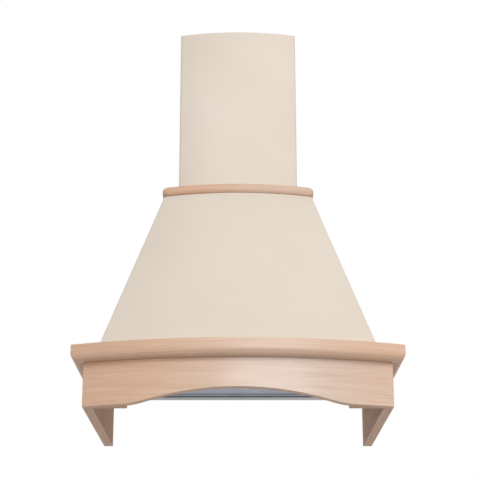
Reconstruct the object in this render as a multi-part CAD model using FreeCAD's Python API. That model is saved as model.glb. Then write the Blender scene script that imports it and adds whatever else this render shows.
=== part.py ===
import FreeCAD, Part
import math
import os

# A country-style wall range hood: a beech frame and collar round a painted steel canopy and duct cover.
# Millimetres. +X is to the right seen from the front, +Y points into the wall, +Z is up.
# Heights are measured from the bottom edge of the wooden frame, and the wall is the plane y = 0.
# Each finished piece is moved down so that the origin is on the wall, halfway between the hanging holes.

# ---------------------------------------------------------------- wooden frame
frame_width = 556.0  # over the two side panels
frame_depth = 426.0  # wall to the front corners
frame_bow = 49.5  # how far the middle of the front stands before its corners
frame_height = 110.0
rail_thickness = 18.0
panel_thickness = 18.0
rail_corner_round = 2.0
arch_rise = 26.5
arch_inset = 69.0  # its ends inside the frame's sides
arch_foot_radius = 163.0  # the reversed arcs at both ends of the arch
block_length = 61.5  # corner block, along the rail
block_overlap = 2.6  # how far its flat back stands behind the rail's inner corner
dowel_radius = 4.0
dowel_in_rail = 11.0
dowel_in_panel = 19.0
dowel_heights = (28.0, 84.0)

# ---------------------------------------------------------------- crown moulding
moulding_projection = 22.0
moulding_bottom = 80.0
moulding_round = 14.0  # the quarter round along its lower front edge

# ---------------------------------------------------------------- canopy
sheet = 1.0  # painted steel
canopy_clearance = 0.3  # canopy and base pan inside the wooden frame
canopy_top = 461.0
canopy_top_margin = 28.0  # canopy's top edge outside the duct cover
canopy_corner_round = 4.5
canopy_foot_flange = 14.0
canopy_neck_inset = 24.0  # top flange, inside the duct cover's outline
back_thickness = 1.2
back_flange = 12.0
hang_drop = 37.0  # hanging holes below the canopy's top
hang_spacing = 240.0
hang_hole_radius = 4.0
fix_height = 150.0
fix_inset = 78.0  # lower fixing holes inside the frame's sides
fix_hole_radius = 3.0
top_plate_thickness = 1.5
panel_gap = 0.3  # back panel and top plate inside the canopy's sheet

# ---------------------------------------------------------------- duct cover
chimney_width = 240.0
chimney_depth = 229.0  # wall to its front corners
chimney_bow = 17.0
chimney_top = 829.0
chimney_foot = 16.0  # foot flange of the lower cover
chimney_return = 12.0  # flanges along the wall
sleeve_gap = 0.5
sleeve_sheet = 0.8
sleeve_drop = 4.0  # the sleeve's top below the cover's top
bracket_drop = 20.0  # the wall bracket's top below the cover's top
bracket_height = 25.0
bracket_reach = 30.0
bracket_inset = 16.0  # its ears inside the duct cover's sides
bracket_hole_spacing = 120.0
bracket_hole_radius = 2.5
bracket_ear_hole_radius = 2.0
bracket_ear_hole_depth = 18.0  # from the wall
chimney_screw_inset = 9.6  # foot screws inside the duct cover's outline

# ---------------------------------------------------------------- collar
collar_projection = 32.0
collar_height = 20.0
collar_gap = 0.3
collar_nose_round = 8.5
collar_corner_round = 12.0

# ---------------------------------------------------------------- base pan and filter
pan_height = 97.0
pan_thickness = 1.2
pan_rim = 14.0
pan_rear = 27.0  # plain strip along the wall
pan_side = 28.0
pan_front = 150.0  # plain strip for lamps and buttons, behind the rail's corners
filter_gap = 1.0
filter_swing_gap = 0.5  # left at the rear edge as the filter swings
filter_recess = 3.0  # its face above the pan's underside
filter_thickness = 8.5
filter_bar = 9.0
filter_front_bar = 24.0
filter_lip = 1.2
mesh_thickness = 4.0
peg_radius = 2.0
peg_clearance = 0.06
peg_setback = 4.0  # peg axis in from the filter's rear edge
peg_lift = 5.0  # peg axis above the filter's face
peg_reach = 2.0  # beyond the rim
latch_inset = 115.0  # latch centres inside the filter opening's sides
latch_width = 54.0
latch_length = 11.0
latch_thickness = 4.6
latch_travel = 5.0
latch_clearance = 0.2
latch_tongue_width = 22.0
latch_tongue_thickness = 1.6
latch_ridge = 1.0  # depth of its grip grooves
latch_grooves = 3

# ---------------------------------------------------------------- controls
control_setback = 68.0  # button row behind the front rail's inner face
panel_width = 150.0
panel_depth = 26.0
fascia_thickness = 2.5
button_pitch = 24.0
button_width = 17.4
button_depth = 11.4
button_clearance = 0.3
button_proud = 1.8
button_travel = 2.5
button_flange = 1.2
stem_radius = 2.0
stem_clearance = 0.3
switch_gap = 0.6  # between a pressed button's flange and the switch block
switch_height = 14.0
switch_foot = 6.0
button_names = ("off", "low", "medium", "high", "light")

# ---------------------------------------------------------------- lamps
lamp_inset = 113.0  # lamp centres inside the frame's sides
lamp_setback = 80.0
lamp_bezel_radius = 36.0
lamp_window_radius = 26.0
lamp_lens_radius = 27.8
lamp_sleeve_radius = 29.5
lamp_cap_radius = 32.0
lamp_fit = 0.2
lamp_bezel_thickness = 2.5
lamp_bezel_round = 1.5
lamp_lip = 1.0
lamp_lens_thickness = 2.0
lamp_sleeve_height = 9.0
lamp_body_height = 14.0

# ---------------------------------------------------------------- outlet
spigot_radius = 75.0  # outside, for 150 mm duct
spigot_wall = 1.5
spigot_height = 62.0
spigot_flange = 13.0
spigot_setback = 95.0  # its centre before the wall
flap_height = 10.0  # axle above the spigot's foot
flap_thickness = 1.0
flap_gap = 1.0  # round the flaps' rims
flap_rest_gap = 0.1  # between the closed flaps and their stop ring
flap_stop = 2.0
axle_radius = 2.0
knuckle_wall = 1.2
knuckle_length = 30.0
pivot_clearance = 0.06
pivot_gap = 0.3

# ---------------------------------------------------------------- fan
fan_drop = 158.0  # fan axis below the top plate
scroll_start = 96.0  # radius of the first quarter of the scroll
scroll_step = 15.0  # growth of each further quarter
scroll_half_width = 52.0
scroll_wall = 1.5
scroll_rim = 9.0
scroll_screw_angles = ((110.0, 170.0), (225.0,), (285.0, 340.0))  # by quarter
neck_depth = 96.0
neck_flange = 13.0
inlet_radius = 62.0
wheel_radius = 80.0
wheel_inner_radius = 67.0
wheel_half_width = 47.0
wheel_ring = 3.0
wheel_disc = 2.0
wheel_hub_radius = 13.0
wheel_hub_length = 18.0
blade_count = 32
blade_thickness = 1.0
blade_inset = 0.5  # its edges inside the rings' faces
blade_sweep = 7.0  # degrees that a blade's rim leads its foot
blade_mid_sweep = 1.4  # the same, halfway
shaft_radius = 4.0
bearing_radius = 11.0
bearing_width = 7.0
bearing_clearance = 0.04
motor_radius = 46.0
motor_wall = 2.0
motor_length = 74.0
motor_gap = 4.0  # from the hub to the motor
stator_inner_radius = 26.0
rotor_gap = 0.5
rotor_length = 40.0
ring_width = 10.0
ring_thickness = 4.0
arm_width = 14.0
arm_thickness = 2.5
arm_overlap = 10.0
arm_angles = (90.0, 210.0, 330.0)  # the first one points up

# ---------------------------------------------------------------- electrics
box_width = 80.0
box_depth = 34.0
box_height = 60.0
box_inset = 80.0  # its outer side inside the frame's side
box_wall = 2.4
electrics_lift = 60.0  # above the base pan
gland_radius = 9.0
gland_thread_radius = 5.4
gland_bore = 3.5
gland_nut = 6.0
gland_cone = 10.0
gland_cone_radius = 7.8
capacitor_radius = 15.0
capacitor_length = 55.0
capacitor_strap = 1.5
strap_width = 15.0

# ---------------------------------------------------------------- fasteners
wood_screw = {"head": 3.6, "head_height": 1.6, "shank": 1.7, "length": 14.0}
sheet_screw = {"head": 3.4, "head_height": 1.8, "shank": 1.4, "length": 8.0}
machine_screw = {"head": 3.5, "head_height": 2.2, "shank": 2.0, "length": 9.0}
screw_clearance = 0.1
angle_leg = 20.0
angle_length = 60.0
angle_sheet = 1.5
angle_rear_inset = 70.0  # middle of the rearmost angle before the wall
angle_front_inset = 76.0  # middle of the foremost angle behind the frame's front corners

big = 2000.0  # reach of a cutting tool
tiny = 1e-6

made = []


def vec(x, y, z):
    return FreeCAD.Vector(x, y, z)


def box(x0, x1, y0, y1, z0, z1):
    return Part.makeBox(x1 - x0, y1 - y0, z1 - z0, vec(x0, y0, z0))


def block(x, y, half_x, half_y, z0, z1):
    """A box round the upright line at x, y."""
    return box(x - half_x, x + half_x, y - half_y, y + half_y, z0, z1)


def rod(radius, start, end):
    """A round bar between two points."""
    along = end.sub(start)
    return Part.makeCylinder(radius, along.Length, start, along)


def tube(outer, inner, start, end):
    return rod(outer, start, end).cut(rod(inner, start, end))


def mirrored(shape):
    return shape.mirror(vec(0, 0, 0), vec(1, 0, 0))


def write(node, *solids):
    """Moves the piece into the frame of the hanging holes and writes it."""
    os.makedirs("parts", exist_ok=True)
    flat = [solid for shape in solids for solid in shape.Solids]
    whole = flat[0] if len(flat) == 1 else Part.makeCompound(flat)
    placed = whole.copy()
    placed.translate(vec(0, 0, -hang_height))
    placed.exportStep("parts/" + node + ".step")
    made.append((node, placed))


class BowPlan:
    """A plan outline with straight sides that run back to the wall and a front bowed as one arc."""

    def __init__(self, half, radius, centre_y):
        self.half = half
        self.radius = radius
        self.centre_y = centre_y

    def grown(self, offset):
        return BowPlan(self.half + offset, self.radius + offset, self.centre_y)

    def front_y(self, x=0.0):
        return self.centre_y - math.sqrt(self.radius**2 - x**2)

    def corner(self):
        return vec(self.half, self.front_y(self.half), 0)

    def wire(self, z, corner_round, back=0.0):
        """The outline at height z, its two front corners rounded."""
        across = self.half - corner_round
        reach = self.radius - corner_round
        depth = self.centre_y - math.sqrt(reach**2 - across**2)
        lead = vec(across, depth - self.centre_y, 0).normalize()
        middle = lead.add(vec(1, 0, 0)).normalize()
        centre = vec(across, depth, z)
        side = vec(self.half, depth, z)
        knee = centre.add(middle.multiply(corner_round))
        front = centre.add(lead.multiply(corner_round))
        flip = [vec(-p.x, p.y, z) for p in (side, knee, front)]
        edges = [
            Part.makeLine(vec(-self.half, back, z), flip[0]),
            Part.Arc(flip[0], flip[1], flip[2]).toShape(),
            Part.Arc(flip[2], vec(0, self.front_y(), z), front).toShape(),
            Part.Arc(front, knee, side).toShape(),
            Part.makeLine(side, vec(self.half, back, z)),
            Part.makeLine(vec(self.half, back, z), vec(-self.half, back, z)),
        ]
        return Part.Wire(edges)

    def prism(self, z0, z1, corner_round, back=0.0):
        return Part.Face(self.wire(z0, corner_round, back)).extrude(vec(0, 0, z1 - z0))


def bow_plan(width, depth, bow):
    half = width / 2.0
    radius = (half**2 + bow**2) / (2.0 * bow)
    return BowPlan(half, radius, radius - depth - bow)


# ---------------------------------------------------------------- plans and levels shared by the pieces
frame_plan = bow_plan(frame_width, frame_depth, frame_bow)
rail_back = BowPlan(
    frame_plan.half - panel_thickness,
    frame_plan.radius - rail_thickness,
    frame_plan.centre_y,
)
canopy_foot_plan = rail_back.grown(-canopy_clearance)
chimney_plan = bow_plan(chimney_width, chimney_depth, chimney_bow)
canopy_top_plan = chimney_plan.grown(canopy_top_margin)
collar_plan = chimney_plan.grown(collar_projection)
sleeve_plan = chimney_plan.grown(-sheet - sleeve_gap)

arch_half_span = frame_plan.half - arch_inset
pan_top = pan_height + pan_thickness
hang_height = canopy_top - hang_drop
fix_spacing = 2.0 * (frame_plan.half - fix_inset)
plate_top = canopy_top - sheet
plate_bottom = plate_top - top_plate_thickness
spigot_y = -spigot_setback
spigot_bore = spigot_radius - spigot_wall
axle_z = plate_top + flap_height
flap_z0 = axle_z - flap_thickness / 2.0
flap_z1 = axle_z + flap_thickness / 2.0

opening_half = canopy_foot_plan.half - pan_side
filter_face = pan_height + filter_recess
filter_y1 = -pan_rear
filter_y0 = rail_back.corner().y + pan_front
filter_rear_gap = math.hypot(peg_setback, peg_lift) - peg_setback + filter_swing_gap
peg_y = filter_y1 - filter_rear_gap - peg_setback
peg_z = filter_face + peg_lift

control_y = rail_back.front_y() + control_setback
lamp_x = frame_plan.half - lamp_inset
lamp_y = rail_back.front_y(lamp_x) + lamp_setback

fan_y = spigot_y + neck_depth / 2.0 - scroll_step / 2.0 - scroll_start - 2.0 * scroll_step
fan_z = plate_bottom - fan_drop
neck_y1 = spigot_y + neck_depth / 2.0
neck_y0 = spigot_y - neck_depth / 2.0
motor_x1 = -wheel_hub_length / 2.0 - motor_gap
motor_x0 = motor_x1 - motor_length
ring_x1 = -scroll_half_width - scroll_wall
ring_x0 = ring_x1 - arm_thickness

angle_rear = -angle_rear_inset
angle_front = angle_front_inset - frame_depth
angle_rows = (angle_rear, (angle_rear + angle_front) / 2.0, angle_front)
angle_points = [(side, y) for side in (-1, 1) for y in angle_rows]
neck_screw_x = scroll_half_width + scroll_wall + neck_flange / 2.0
neck_screw_y = neck_depth / 2.0 + scroll_wall + neck_flange / 2.0
neck_screw_points = [
    (x, spigot_y + y) for x in (-neck_screw_x, neck_screw_x) for y in (-neck_screw_y, neck_screw_y)
]


def screw(kind, seat, into):
    """A pan-head screw whose head sits on seat and whose shank runs along into."""
    along = FreeCAD.Vector(into).normalize()
    tip = seat.add(FreeCAD.Vector(along).multiply(kind["length"]))
    crown = seat.sub(FreeCAD.Vector(along).multiply(kind["head_height"]))
    return rod(kind["head"], crown, seat).fuse(rod(kind["shank"], seat, tip)).removeSplitter()


def screw_hole(kind, seat, into):
    """The hole that a screw's shank passes through."""
    along = FreeCAD.Vector(into).normalize()
    tip = seat.add(FreeCAD.Vector(along).multiply(kind["length"] + screw_clearance))
    start = seat.sub(FreeCAD.Vector(along).multiply(screw_clearance))
    return rod(kind["shank"] + screw_clearance, start, tip)


def drilled(shape, kind, seats):
    for seat, into in seats:
        shape = shape.cut(screw_hole(kind, seat, into))
    return shape


# ---------------------------------------------------------------- where the screws sit
angle_inner = rail_back.half - angle_sheet
angle_wood_seats = [
    (vec(side * angle_inner, y + shift, pan_height - angle_leg / 2.0), vec(side, 0, 0))
    for side, y in angle_points
    for shift in (-angle_length / 3.0, angle_length / 3.0)
]
angle_sheet_seats = [
    (vec(side * (rail_back.half - angle_leg / 2.0), y, pan_height - angle_sheet), vec(0, 0, 1))
    for side, y in angle_points
]
collar_seat_inset = (canopy_top_margin + sheet) / 2.0
collar_seat_plan = canopy_top_plan.grown(-collar_seat_inset)
collar_seats = [
    (vec(x, collar_seat_plan.front_y(x), plate_bottom), vec(0, 0, 1))
    for x in (-chimney_width / 4.0, 0.0, chimney_width / 4.0)
]
collar_seats += [
    (vec(side * collar_seat_plan.half, -depth, plate_bottom), vec(0, 0, 1))
    for side in (-1, 1)
    for depth in (chimney_depth / 4.0, chimney_depth * 0.75)
]
foot_plan = chimney_plan.grown(-chimney_screw_inset)
foot_seats = [
    (vec(side * foot_plan.half, -chimney_depth / 2.0, canopy_top + sheet), vec(0, 0, -1))
    for side in (-1, 1)
]
foot_seats.append((vec(0, foot_plan.front_y(), canopy_top + sheet), vec(0, 0, -1)))
neck_seats = [(vec(x, y, plate_top + spigot_wall), vec(0, 0, -1)) for x, y in neck_screw_points]
pan_seat_plan = canopy_foot_plan.grown(-canopy_foot_flange / 2.0)
pan_seats = [
    (vec(x, pan_seat_plan.front_y(x), pan_height), vec(0, 0, 1))
    for x in (-frame_width / 3.0, -frame_width / 9.0, frame_width / 9.0, frame_width / 3.0)
]
control_seat_x = (panel_width - switch_foot) / 2.0
control_seats = [
    (vec(side * control_seat_x, control_y, pan_height - fascia_thickness), vec(0, 0, 1))
    for side in (-1, 1)
]


# ---------------------------------------------------------------- wooden frame
def arch_cutter():
    """The ogee arch: one wide arc that runs into a reversed arc at each end."""
    both = (arch_half_span**2 + arch_rise**2) / (2.0 * arch_rise)
    crown_radius = both - arch_foot_radius
    foot = vec(arch_half_span, 0, arch_foot_radius)
    crown = vec(0, 0, arch_rise - crown_radius)
    lead = crown.sub(foot).normalize()
    join = foot.add(FreeCAD.Vector(lead).multiply(arch_foot_radius))
    bend = FreeCAD.Vector(lead).add(vec(0, 0, -1)).normalize()
    middle = foot.add(bend.multiply(arch_foot_radius))
    end = vec(arch_half_span, 0, 0)

    def flip(p):
        return vec(-p.x, p.y, p.z)

    low = -arch_rise
    edges = [
        Part.Arc(flip(end), flip(middle), flip(join)).toShape(),
        Part.Arc(flip(join), vec(0, 0, arch_rise), join).toShape(),
        Part.Arc(join, middle, end).toShape(),
        Part.makeLine(end, vec(arch_half_span, 0, low)),
        Part.makeLine(vec(arch_half_span, 0, low), vec(-arch_half_span, 0, low)),
        Part.makeLine(vec(-arch_half_span, 0, low), flip(end)),
    ]
    return Part.Face(Part.Wire(edges)).extrude(vec(0, -big, 0))


def corner_dowels():
    x = frame_plan.half - panel_thickness / 2.0
    joint = rail_back.front_y(x)
    pins = []
    for z in dowel_heights:
        pins.append(rod(dowel_radius, vec(x, joint - dowel_in_rail, z), vec(x, joint + dowel_in_panel, z)))
    return pins + [mirrored(pin) for pin in pins]


def rail_hollow():
    """The round space behind the front rail."""
    return Part.makeCylinder(rail_back.radius, frame_height, vec(0, rail_back.centre_y, 0))


def front_rail():
    rail_end = rail_back.front_y(frame_plan.half)
    rail = frame_plan.prism(0, frame_height, rail_corner_round).cut(rail_hollow())
    rail = rail.common(box(-big, big, -big, rail_end, 0, frame_height)).cut(arch_cutter())
    write("front_rail", rail.cut(corner_dowels()))
    write("frame_dowels", *corner_dowels())


def side_panels():
    panel = box(rail_back.half, frame_plan.half, -big, 0, 0, frame_height).common(rail_hollow())
    panel = drilled(panel, wood_screw, [s for s in angle_wood_seats if s[1].x > 0])
    panel = panel.cut(corner_dowels())
    write("side_panel_left", mirrored(panel))
    write("side_panel_right", panel)


def corner_blocks():
    x0 = rail_back.half - block_length
    y1 = rail_back.corner().y + block_overlap
    z1 = pan_height - canopy_clearance
    corner = box(x0, rail_back.half, -big, y1, 0, z1).common(rail_hollow())
    write("corner_block_left", mirrored(corner))
    write("corner_block_right", corner)


# ---------------------------------------------------------------- mitred trim
def front_zone(inner, outer):
    """The plan area before the two mitre lines, which run through the inner and the outer front corners."""
    near = inner.corner()
    far = outer.corner()
    along = far.sub(near).normalize()
    back = near.sub(FreeCAD.Vector(along).multiply(collar_projection + moulding_projection))
    ahead = far.add(FreeCAD.Vector(along).multiply(big))
    points = [vec(-back.x, back.y, -big), vec(-ahead.x, ahead.y, -big), vec(ahead.x, ahead.y, -big)]
    points += [vec(back.x, back.y, -big)]
    points.append(points[0])
    return Part.Face(Part.makePolygon(points)).extrude(vec(0, 0, 2.0 * big))


def moulding_profile(x, y, outward):
    """The crown moulding's section: a board with a quarter round along its lower front edge."""

    def at(projection, z):
        return vec(x + outward.x * projection, y + outward.y * projection, z)

    inset = moulding_round * (1.0 - math.sqrt(0.5))
    heel = at(0, moulding_bottom)
    start = at(moulding_projection - moulding_round, moulding_bottom)
    middle = at(moulding_projection - inset, moulding_bottom + inset)
    end = at(moulding_projection, moulding_bottom + moulding_round)
    brow = at(moulding_projection, frame_height)
    back = at(0, frame_height)
    edges = [Part.makeLine(heel, start), Part.Arc(start, middle, end).toShape()]
    edges += [Part.makeLine(end, brow), Part.makeLine(brow, back), Part.makeLine(back, heel)]
    return Part.Face(Part.Wire(edges))


def crown_moulding():
    outer = frame_plan.grown(moulding_projection)
    zone = front_zone(frame_plan, outer)
    sweep = math.degrees(math.asin(outer.half / outer.radius)) + 2.0
    section = moulding_profile(0, frame_plan.front_y(), vec(0, -1, 0))
    pivot = vec(0, frame_plan.centre_y, 0)
    section.rotate(pivot, vec(0, 0, 1), -sweep)
    front = section.revolve(pivot, vec(0, 0, 1), 2.0 * sweep).common(zone)
    run = moulding_profile(frame_plan.half, 0, vec(1, 0, 0)).extrude(vec(0, -big, 0))
    side = run.cut(zone).common(box(0, big, outer.corner().y - moulding_projection, 0, 0, frame_height))
    write("crown_moulding_front", front)
    write("crown_moulding_left", mirrored(side))
    write("crown_moulding_right", side)


def collar():
    inside = chimney_plan.grown(collar_gap)
    z0 = canopy_top
    z1 = canopy_top + collar_height
    ring = collar_plan.prism(z0, z1, collar_corner_round)
    nose = [e for e in ring.Edges if on_front_rim(e, z0, z1)]
    ring = ring.makeFillet(collar_nose_round, nose)
    ring = ring.cut(inside.prism(z0 - 1.0, z1 + 1.0, canopy_corner_round, back=1.0))
    ring = drilled(ring, sheet_screw, collar_seats)
    zone = front_zone(inside, collar_plan)
    sides = ring.cut(zone).Solids
    write("collar_front", ring.common(zone))
    write("collar_left", min(sides, key=lambda s: s.CenterOfMass.x))
    write("collar_right", max(sides, key=lambda s: s.CenterOfMass.x))


def on_front_rim(edge, z0, z1):
    """True for the rim edges at z0 or z1, without the straight edge along the wall."""
    levels = [v.Point.z for v in edge.Vertexes]
    level = any(all(abs(z - rim) < tiny for z in levels) for rim in (z0, z1))
    at_wall = all(abs(v.Point.y) < tiny for v in edge.Vertexes)
    return level and not at_wall


# ---------------------------------------------------------------- canopy
def canopy_body(offset, back=0.0):
    """The canopy's tapering body, grown by offset."""
    foot = canopy_foot_plan.grown(offset).wire(pan_top, canopy_corner_round, back)
    top = canopy_top_plan.grown(offset).wire(canopy_top, canopy_corner_round, back)
    return Part.makeLoft([foot, top], True, True)


def canopy_shell():
    outer = canopy_body(0.0)
    inner = canopy_body(-sheet, back=1.0)
    walls = outer.cut(inner)
    foot_hole = canopy_foot_plan.grown(-canopy_foot_flange)
    foot = outer.common(box(-big, big, -big, 0, pan_top, pan_top + sheet))
    foot = foot.cut(foot_hole.prism(pan_top - 1.0, pan_top + sheet + 1.0, canopy_corner_round, back=1.0))
    top = outer.common(box(-big, big, -big, 0, plate_top, canopy_top))
    top_hole = chimney_plan.grown(-canopy_neck_inset)
    top = top.cut(top_hole.prism(plate_top - 1.0, canopy_top + 1.0, canopy_corner_round, back=1.0))
    shell = walls.fuse([foot, top]).removeSplitter()
    shell = drilled(shell, sheet_screw, collar_seats + foot_seats + pan_seats + angle_sheet_seats)
    write("canopy_shell", shell)


def back_panel():
    fitted = canopy_body(-sheet - panel_gap, back=1.0)
    deeper = canopy_body(-sheet - panel_gap - back_thickness, back=2.0)
    low = pan_top + sheet
    high = plate_bottom
    back = fitted.common(box(-big, big, -back_thickness, 0, low, high))
    flanges = fitted.cut(deeper).common(box(-big, big, -back_flange, 0, low, high))
    back = back.fuse(flanges).removeSplitter()
    for spacing, z, radius in (
        (hang_spacing, hang_height, hang_hole_radius),
        (fix_spacing, fix_height, fix_hole_radius),
    ):
        for x in (-spacing / 2.0, spacing / 2.0):
            back = back.cut(rod(radius, vec(x, -2.0 * back_thickness, z), vec(x, back_thickness, z)))
    write("back_panel", back)


def top_plate():
    fitted = canopy_body(-sheet - panel_gap, back=1.0)
    plate = fitted.common(box(-big, big, -big, 0, plate_bottom, plate_top))
    mouth = (scroll_half_width, neck_depth / 2.0, plate_bottom - 1.0, plate_top + 1.0)
    plate = plate.cut(block(0, spigot_y, *mouth))
    plate = drilled(plate, machine_screw, neck_seats)
    plate = drilled(plate, sheet_screw, foot_seats + collar_seats)
    write("top_plate", plate)


# ---------------------------------------------------------------- duct cover
def cover(plan, gauge, z0, z1, back):
    """A bowed sheet cover with a flange along the wall at each side."""
    corner_round = canopy_corner_round
    core = plan.grown(-gauge).prism(z0 - 1.0, z1 + 1.0, corner_round, back + 1.0)
    walls = plan.prism(z0, z1, corner_round, back).cut(core)
    wing = box(plan.half - chimney_return, plan.half, back - gauge, back, z0, z1)
    return walls.fuse([wing, mirrored(wing)]).removeSplitter()


def chimney_lower():
    lower = cover(chimney_plan, sheet, canopy_top, chimney_top, 0.0)
    foot = chimney_plan.prism(canopy_top, canopy_top + sheet, canopy_corner_round)
    hole = chimney_plan.grown(-chimney_foot)
    foot = foot.cut(hole.prism(canopy_top - 1.0, canopy_top + 2.0 * sheet, canopy_corner_round, back=1.0))
    lower = drilled(lower.fuse(foot).removeSplitter(), sheet_screw, foot_seats)
    write("chimney_lower", lower)


def chimney_upper():
    back = -sheet - sleeve_gap
    top = chimney_top - sleeve_drop
    write("chimney_upper", cover(sleeve_plan, sleeve_sheet, canopy_top + sheet, top, back))


def chimney_bracket():
    z1 = chimney_top - bracket_drop
    z0 = z1 - bracket_height
    z = (z0 + z1) / 2.0
    y = -bracket_ear_hole_depth
    plate_half = chimney_plan.half - chimney_return - sleeve_gap
    ear_x1 = chimney_plan.half - bracket_inset
    ear_x0 = ear_x1 - sheet
    ear = box(ear_x0, ear_x1, -bracket_reach, 0, z0, z1)
    ear = ear.cut(rod(bracket_ear_hole_radius, vec(ear_x0 - 1.0, y, z), vec(ear_x1 + 1.0, y, z)))
    bracket = box(-plate_half, plate_half, -sheet, 0, z0, z1).fuse([ear, mirrored(ear)])
    for x in (-bracket_hole_spacing / 2.0, bracket_hole_spacing / 2.0):
        bracket = bracket.cut(rod(bracket_hole_radius, vec(x, -2.0 * sheet, z), vec(x, sheet, z)))
    write("chimney_bracket", bracket.removeSplitter())


# ---------------------------------------------------------------- base pan
def filter_opening(z0, z1, grow=0.0):
    half = opening_half + grow
    return box(-half, half, filter_y0 - grow, filter_y1 + grow, z0, z1)


def peg_rod(radius, half_length):
    """A round bar along the filter's hinge line."""
    return rod(radius, vec(-half_length, peg_y, peg_z), vec(half_length, peg_y, peg_z))


def base_pan():
    pan = canopy_foot_plan.prism(pan_height, pan_top, canopy_corner_round)
    pan = pan.fuse(filter_opening(pan_height, pan_height + pan_rim, pan_thickness))
    pan = pan.cut(filter_opening(pan_height - 1.0, pan_height + pan_rim + 1.0))
    pan = pan.cut(peg_rod(peg_radius + peg_clearance, opening_half + 2.0 * pan_thickness))
    half_opening = panel_width / 2.0 - switch_foot
    half_depth = button_depth / 2.0 + button_flange + 2.0 * button_clearance
    pan = pan.cut(block(0, control_y, half_opening, half_depth, pan_height - 1.0, pan_top + 1.0))
    for side in (-1, 1):
        foot = vec(side * lamp_x, lamp_y, pan_height - 1.0)
        pan = pan.cut(rod(lamp_sleeve_radius + lamp_fit, foot, foot.add(vec(0, 0, pan_thickness + 2.0))))
    pan = drilled(pan.removeSplitter(), sheet_screw, pan_seats + angle_sheet_seats + control_seats)
    write("base_pan", pan)


def frame_brackets():
    angles = []
    for side, y in angle_points:
        y0 = y - angle_length / 2.0
        y1 = y + angle_length / 2.0
        z1 = pan_height
        upright = box(rail_back.half - angle_sheet, rail_back.half, y0, y1, z1 - angle_leg, z1)
        shelf = box(rail_back.half - angle_leg, rail_back.half, y0, y1, z1 - angle_sheet, z1)
        angle = upright.fuse(shelf).removeSplitter()
        angle = angle if side > 0 else mirrored(angle)
        angle = drilled(angle, wood_screw, angle_wood_seats)
        angles.append(drilled(angle, sheet_screw, angle_sheet_seats))
    write("frame_brackets", *angles)


# ---------------------------------------------------------------- grease filter
def filter_block(inset_x, inset_front, inset_rear, z0, z1):
    """A box within the filter's outline, inset from its edges."""
    half = opening_half - filter_gap - inset_x
    y0 = filter_y0 + filter_gap + inset_front
    y1 = filter_y1 - filter_rear_gap - inset_rear
    return box(-half, half, y0, y1, z0, z1)


def filter_latch():
    """The right-hand thumb latch, and the room that it slides in."""
    x = opening_half - latch_inset
    half = latch_width / 2.0
    half_tongue = latch_tongue_width / 2.0
    free = latch_clearance
    edge = filter_y0 + filter_gap
    y0 = edge + latch_length / 2.0
    y1 = y0 + latch_length
    z0 = filter_face
    z1 = z0 + latch_thickness
    tongue_z0 = z1 - latch_tongue_thickness
    latch = box(x - half, x + half, y0, y1, z0, z1)
    latch = latch.fuse(box(x - half_tongue, x + half_tongue, edge - filter_gap / 2.0, y0, tongue_z0, z1))
    ridge_pitch = latch_length / (latch_grooves + 1.0)
    for index in range(latch_grooves):
        y = y0 + ridge_pitch * (index + 0.75)
        latch = latch.cut(box(x - half, x + half, y, y + ridge_pitch / 2.0, z0 - 1.0, z0 + latch_ridge))
    far = y1 + latch_travel + free
    pocket = box(x - half - free, x + half + free, y0 - free, far, z0 - 1.0, z1 + free)
    reach = half_tongue + free
    slot = box(x - reach, x + reach, edge - 1.0, y0, tongue_z0 - free, z1 + free)
    return latch.removeSplitter(), pocket.fuse(slot)


def grease_filter():
    """One wide filter: a frame with two hinge pegs, the mesh in it and two latches."""
    z0 = filter_face
    z1 = z0 + filter_thickness
    bar = filter_bar
    lip = filter_lip
    mesh_z0 = (z0 + z1 - mesh_thickness) / 2.0
    slab = filter_block(bar - lip, filter_front_bar - lip, bar - lip, mesh_z0, mesh_z0 + mesh_thickness)
    body = filter_block(0, 0, 0, z0, z1)
    body = body.cut(filter_block(bar, filter_front_bar, bar, z0 - 1.0, z1 + 1.0)).cut(slab)
    half = opening_half - filter_gap
    pegs = peg_rod(peg_radius, opening_half + pan_thickness + peg_reach)
    body = body.fuse(pegs.cut(box(-half, half, -big, big, -big, big)))
    latch, room = filter_latch()
    body = body.cut(room).cut(mirrored(room))
    write("filter_frame", body.removeSplitter())
    write("filter_mesh", slab)
    write("filter_latch_left", mirrored(latch))
    write("filter_latch_right", latch)


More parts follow.
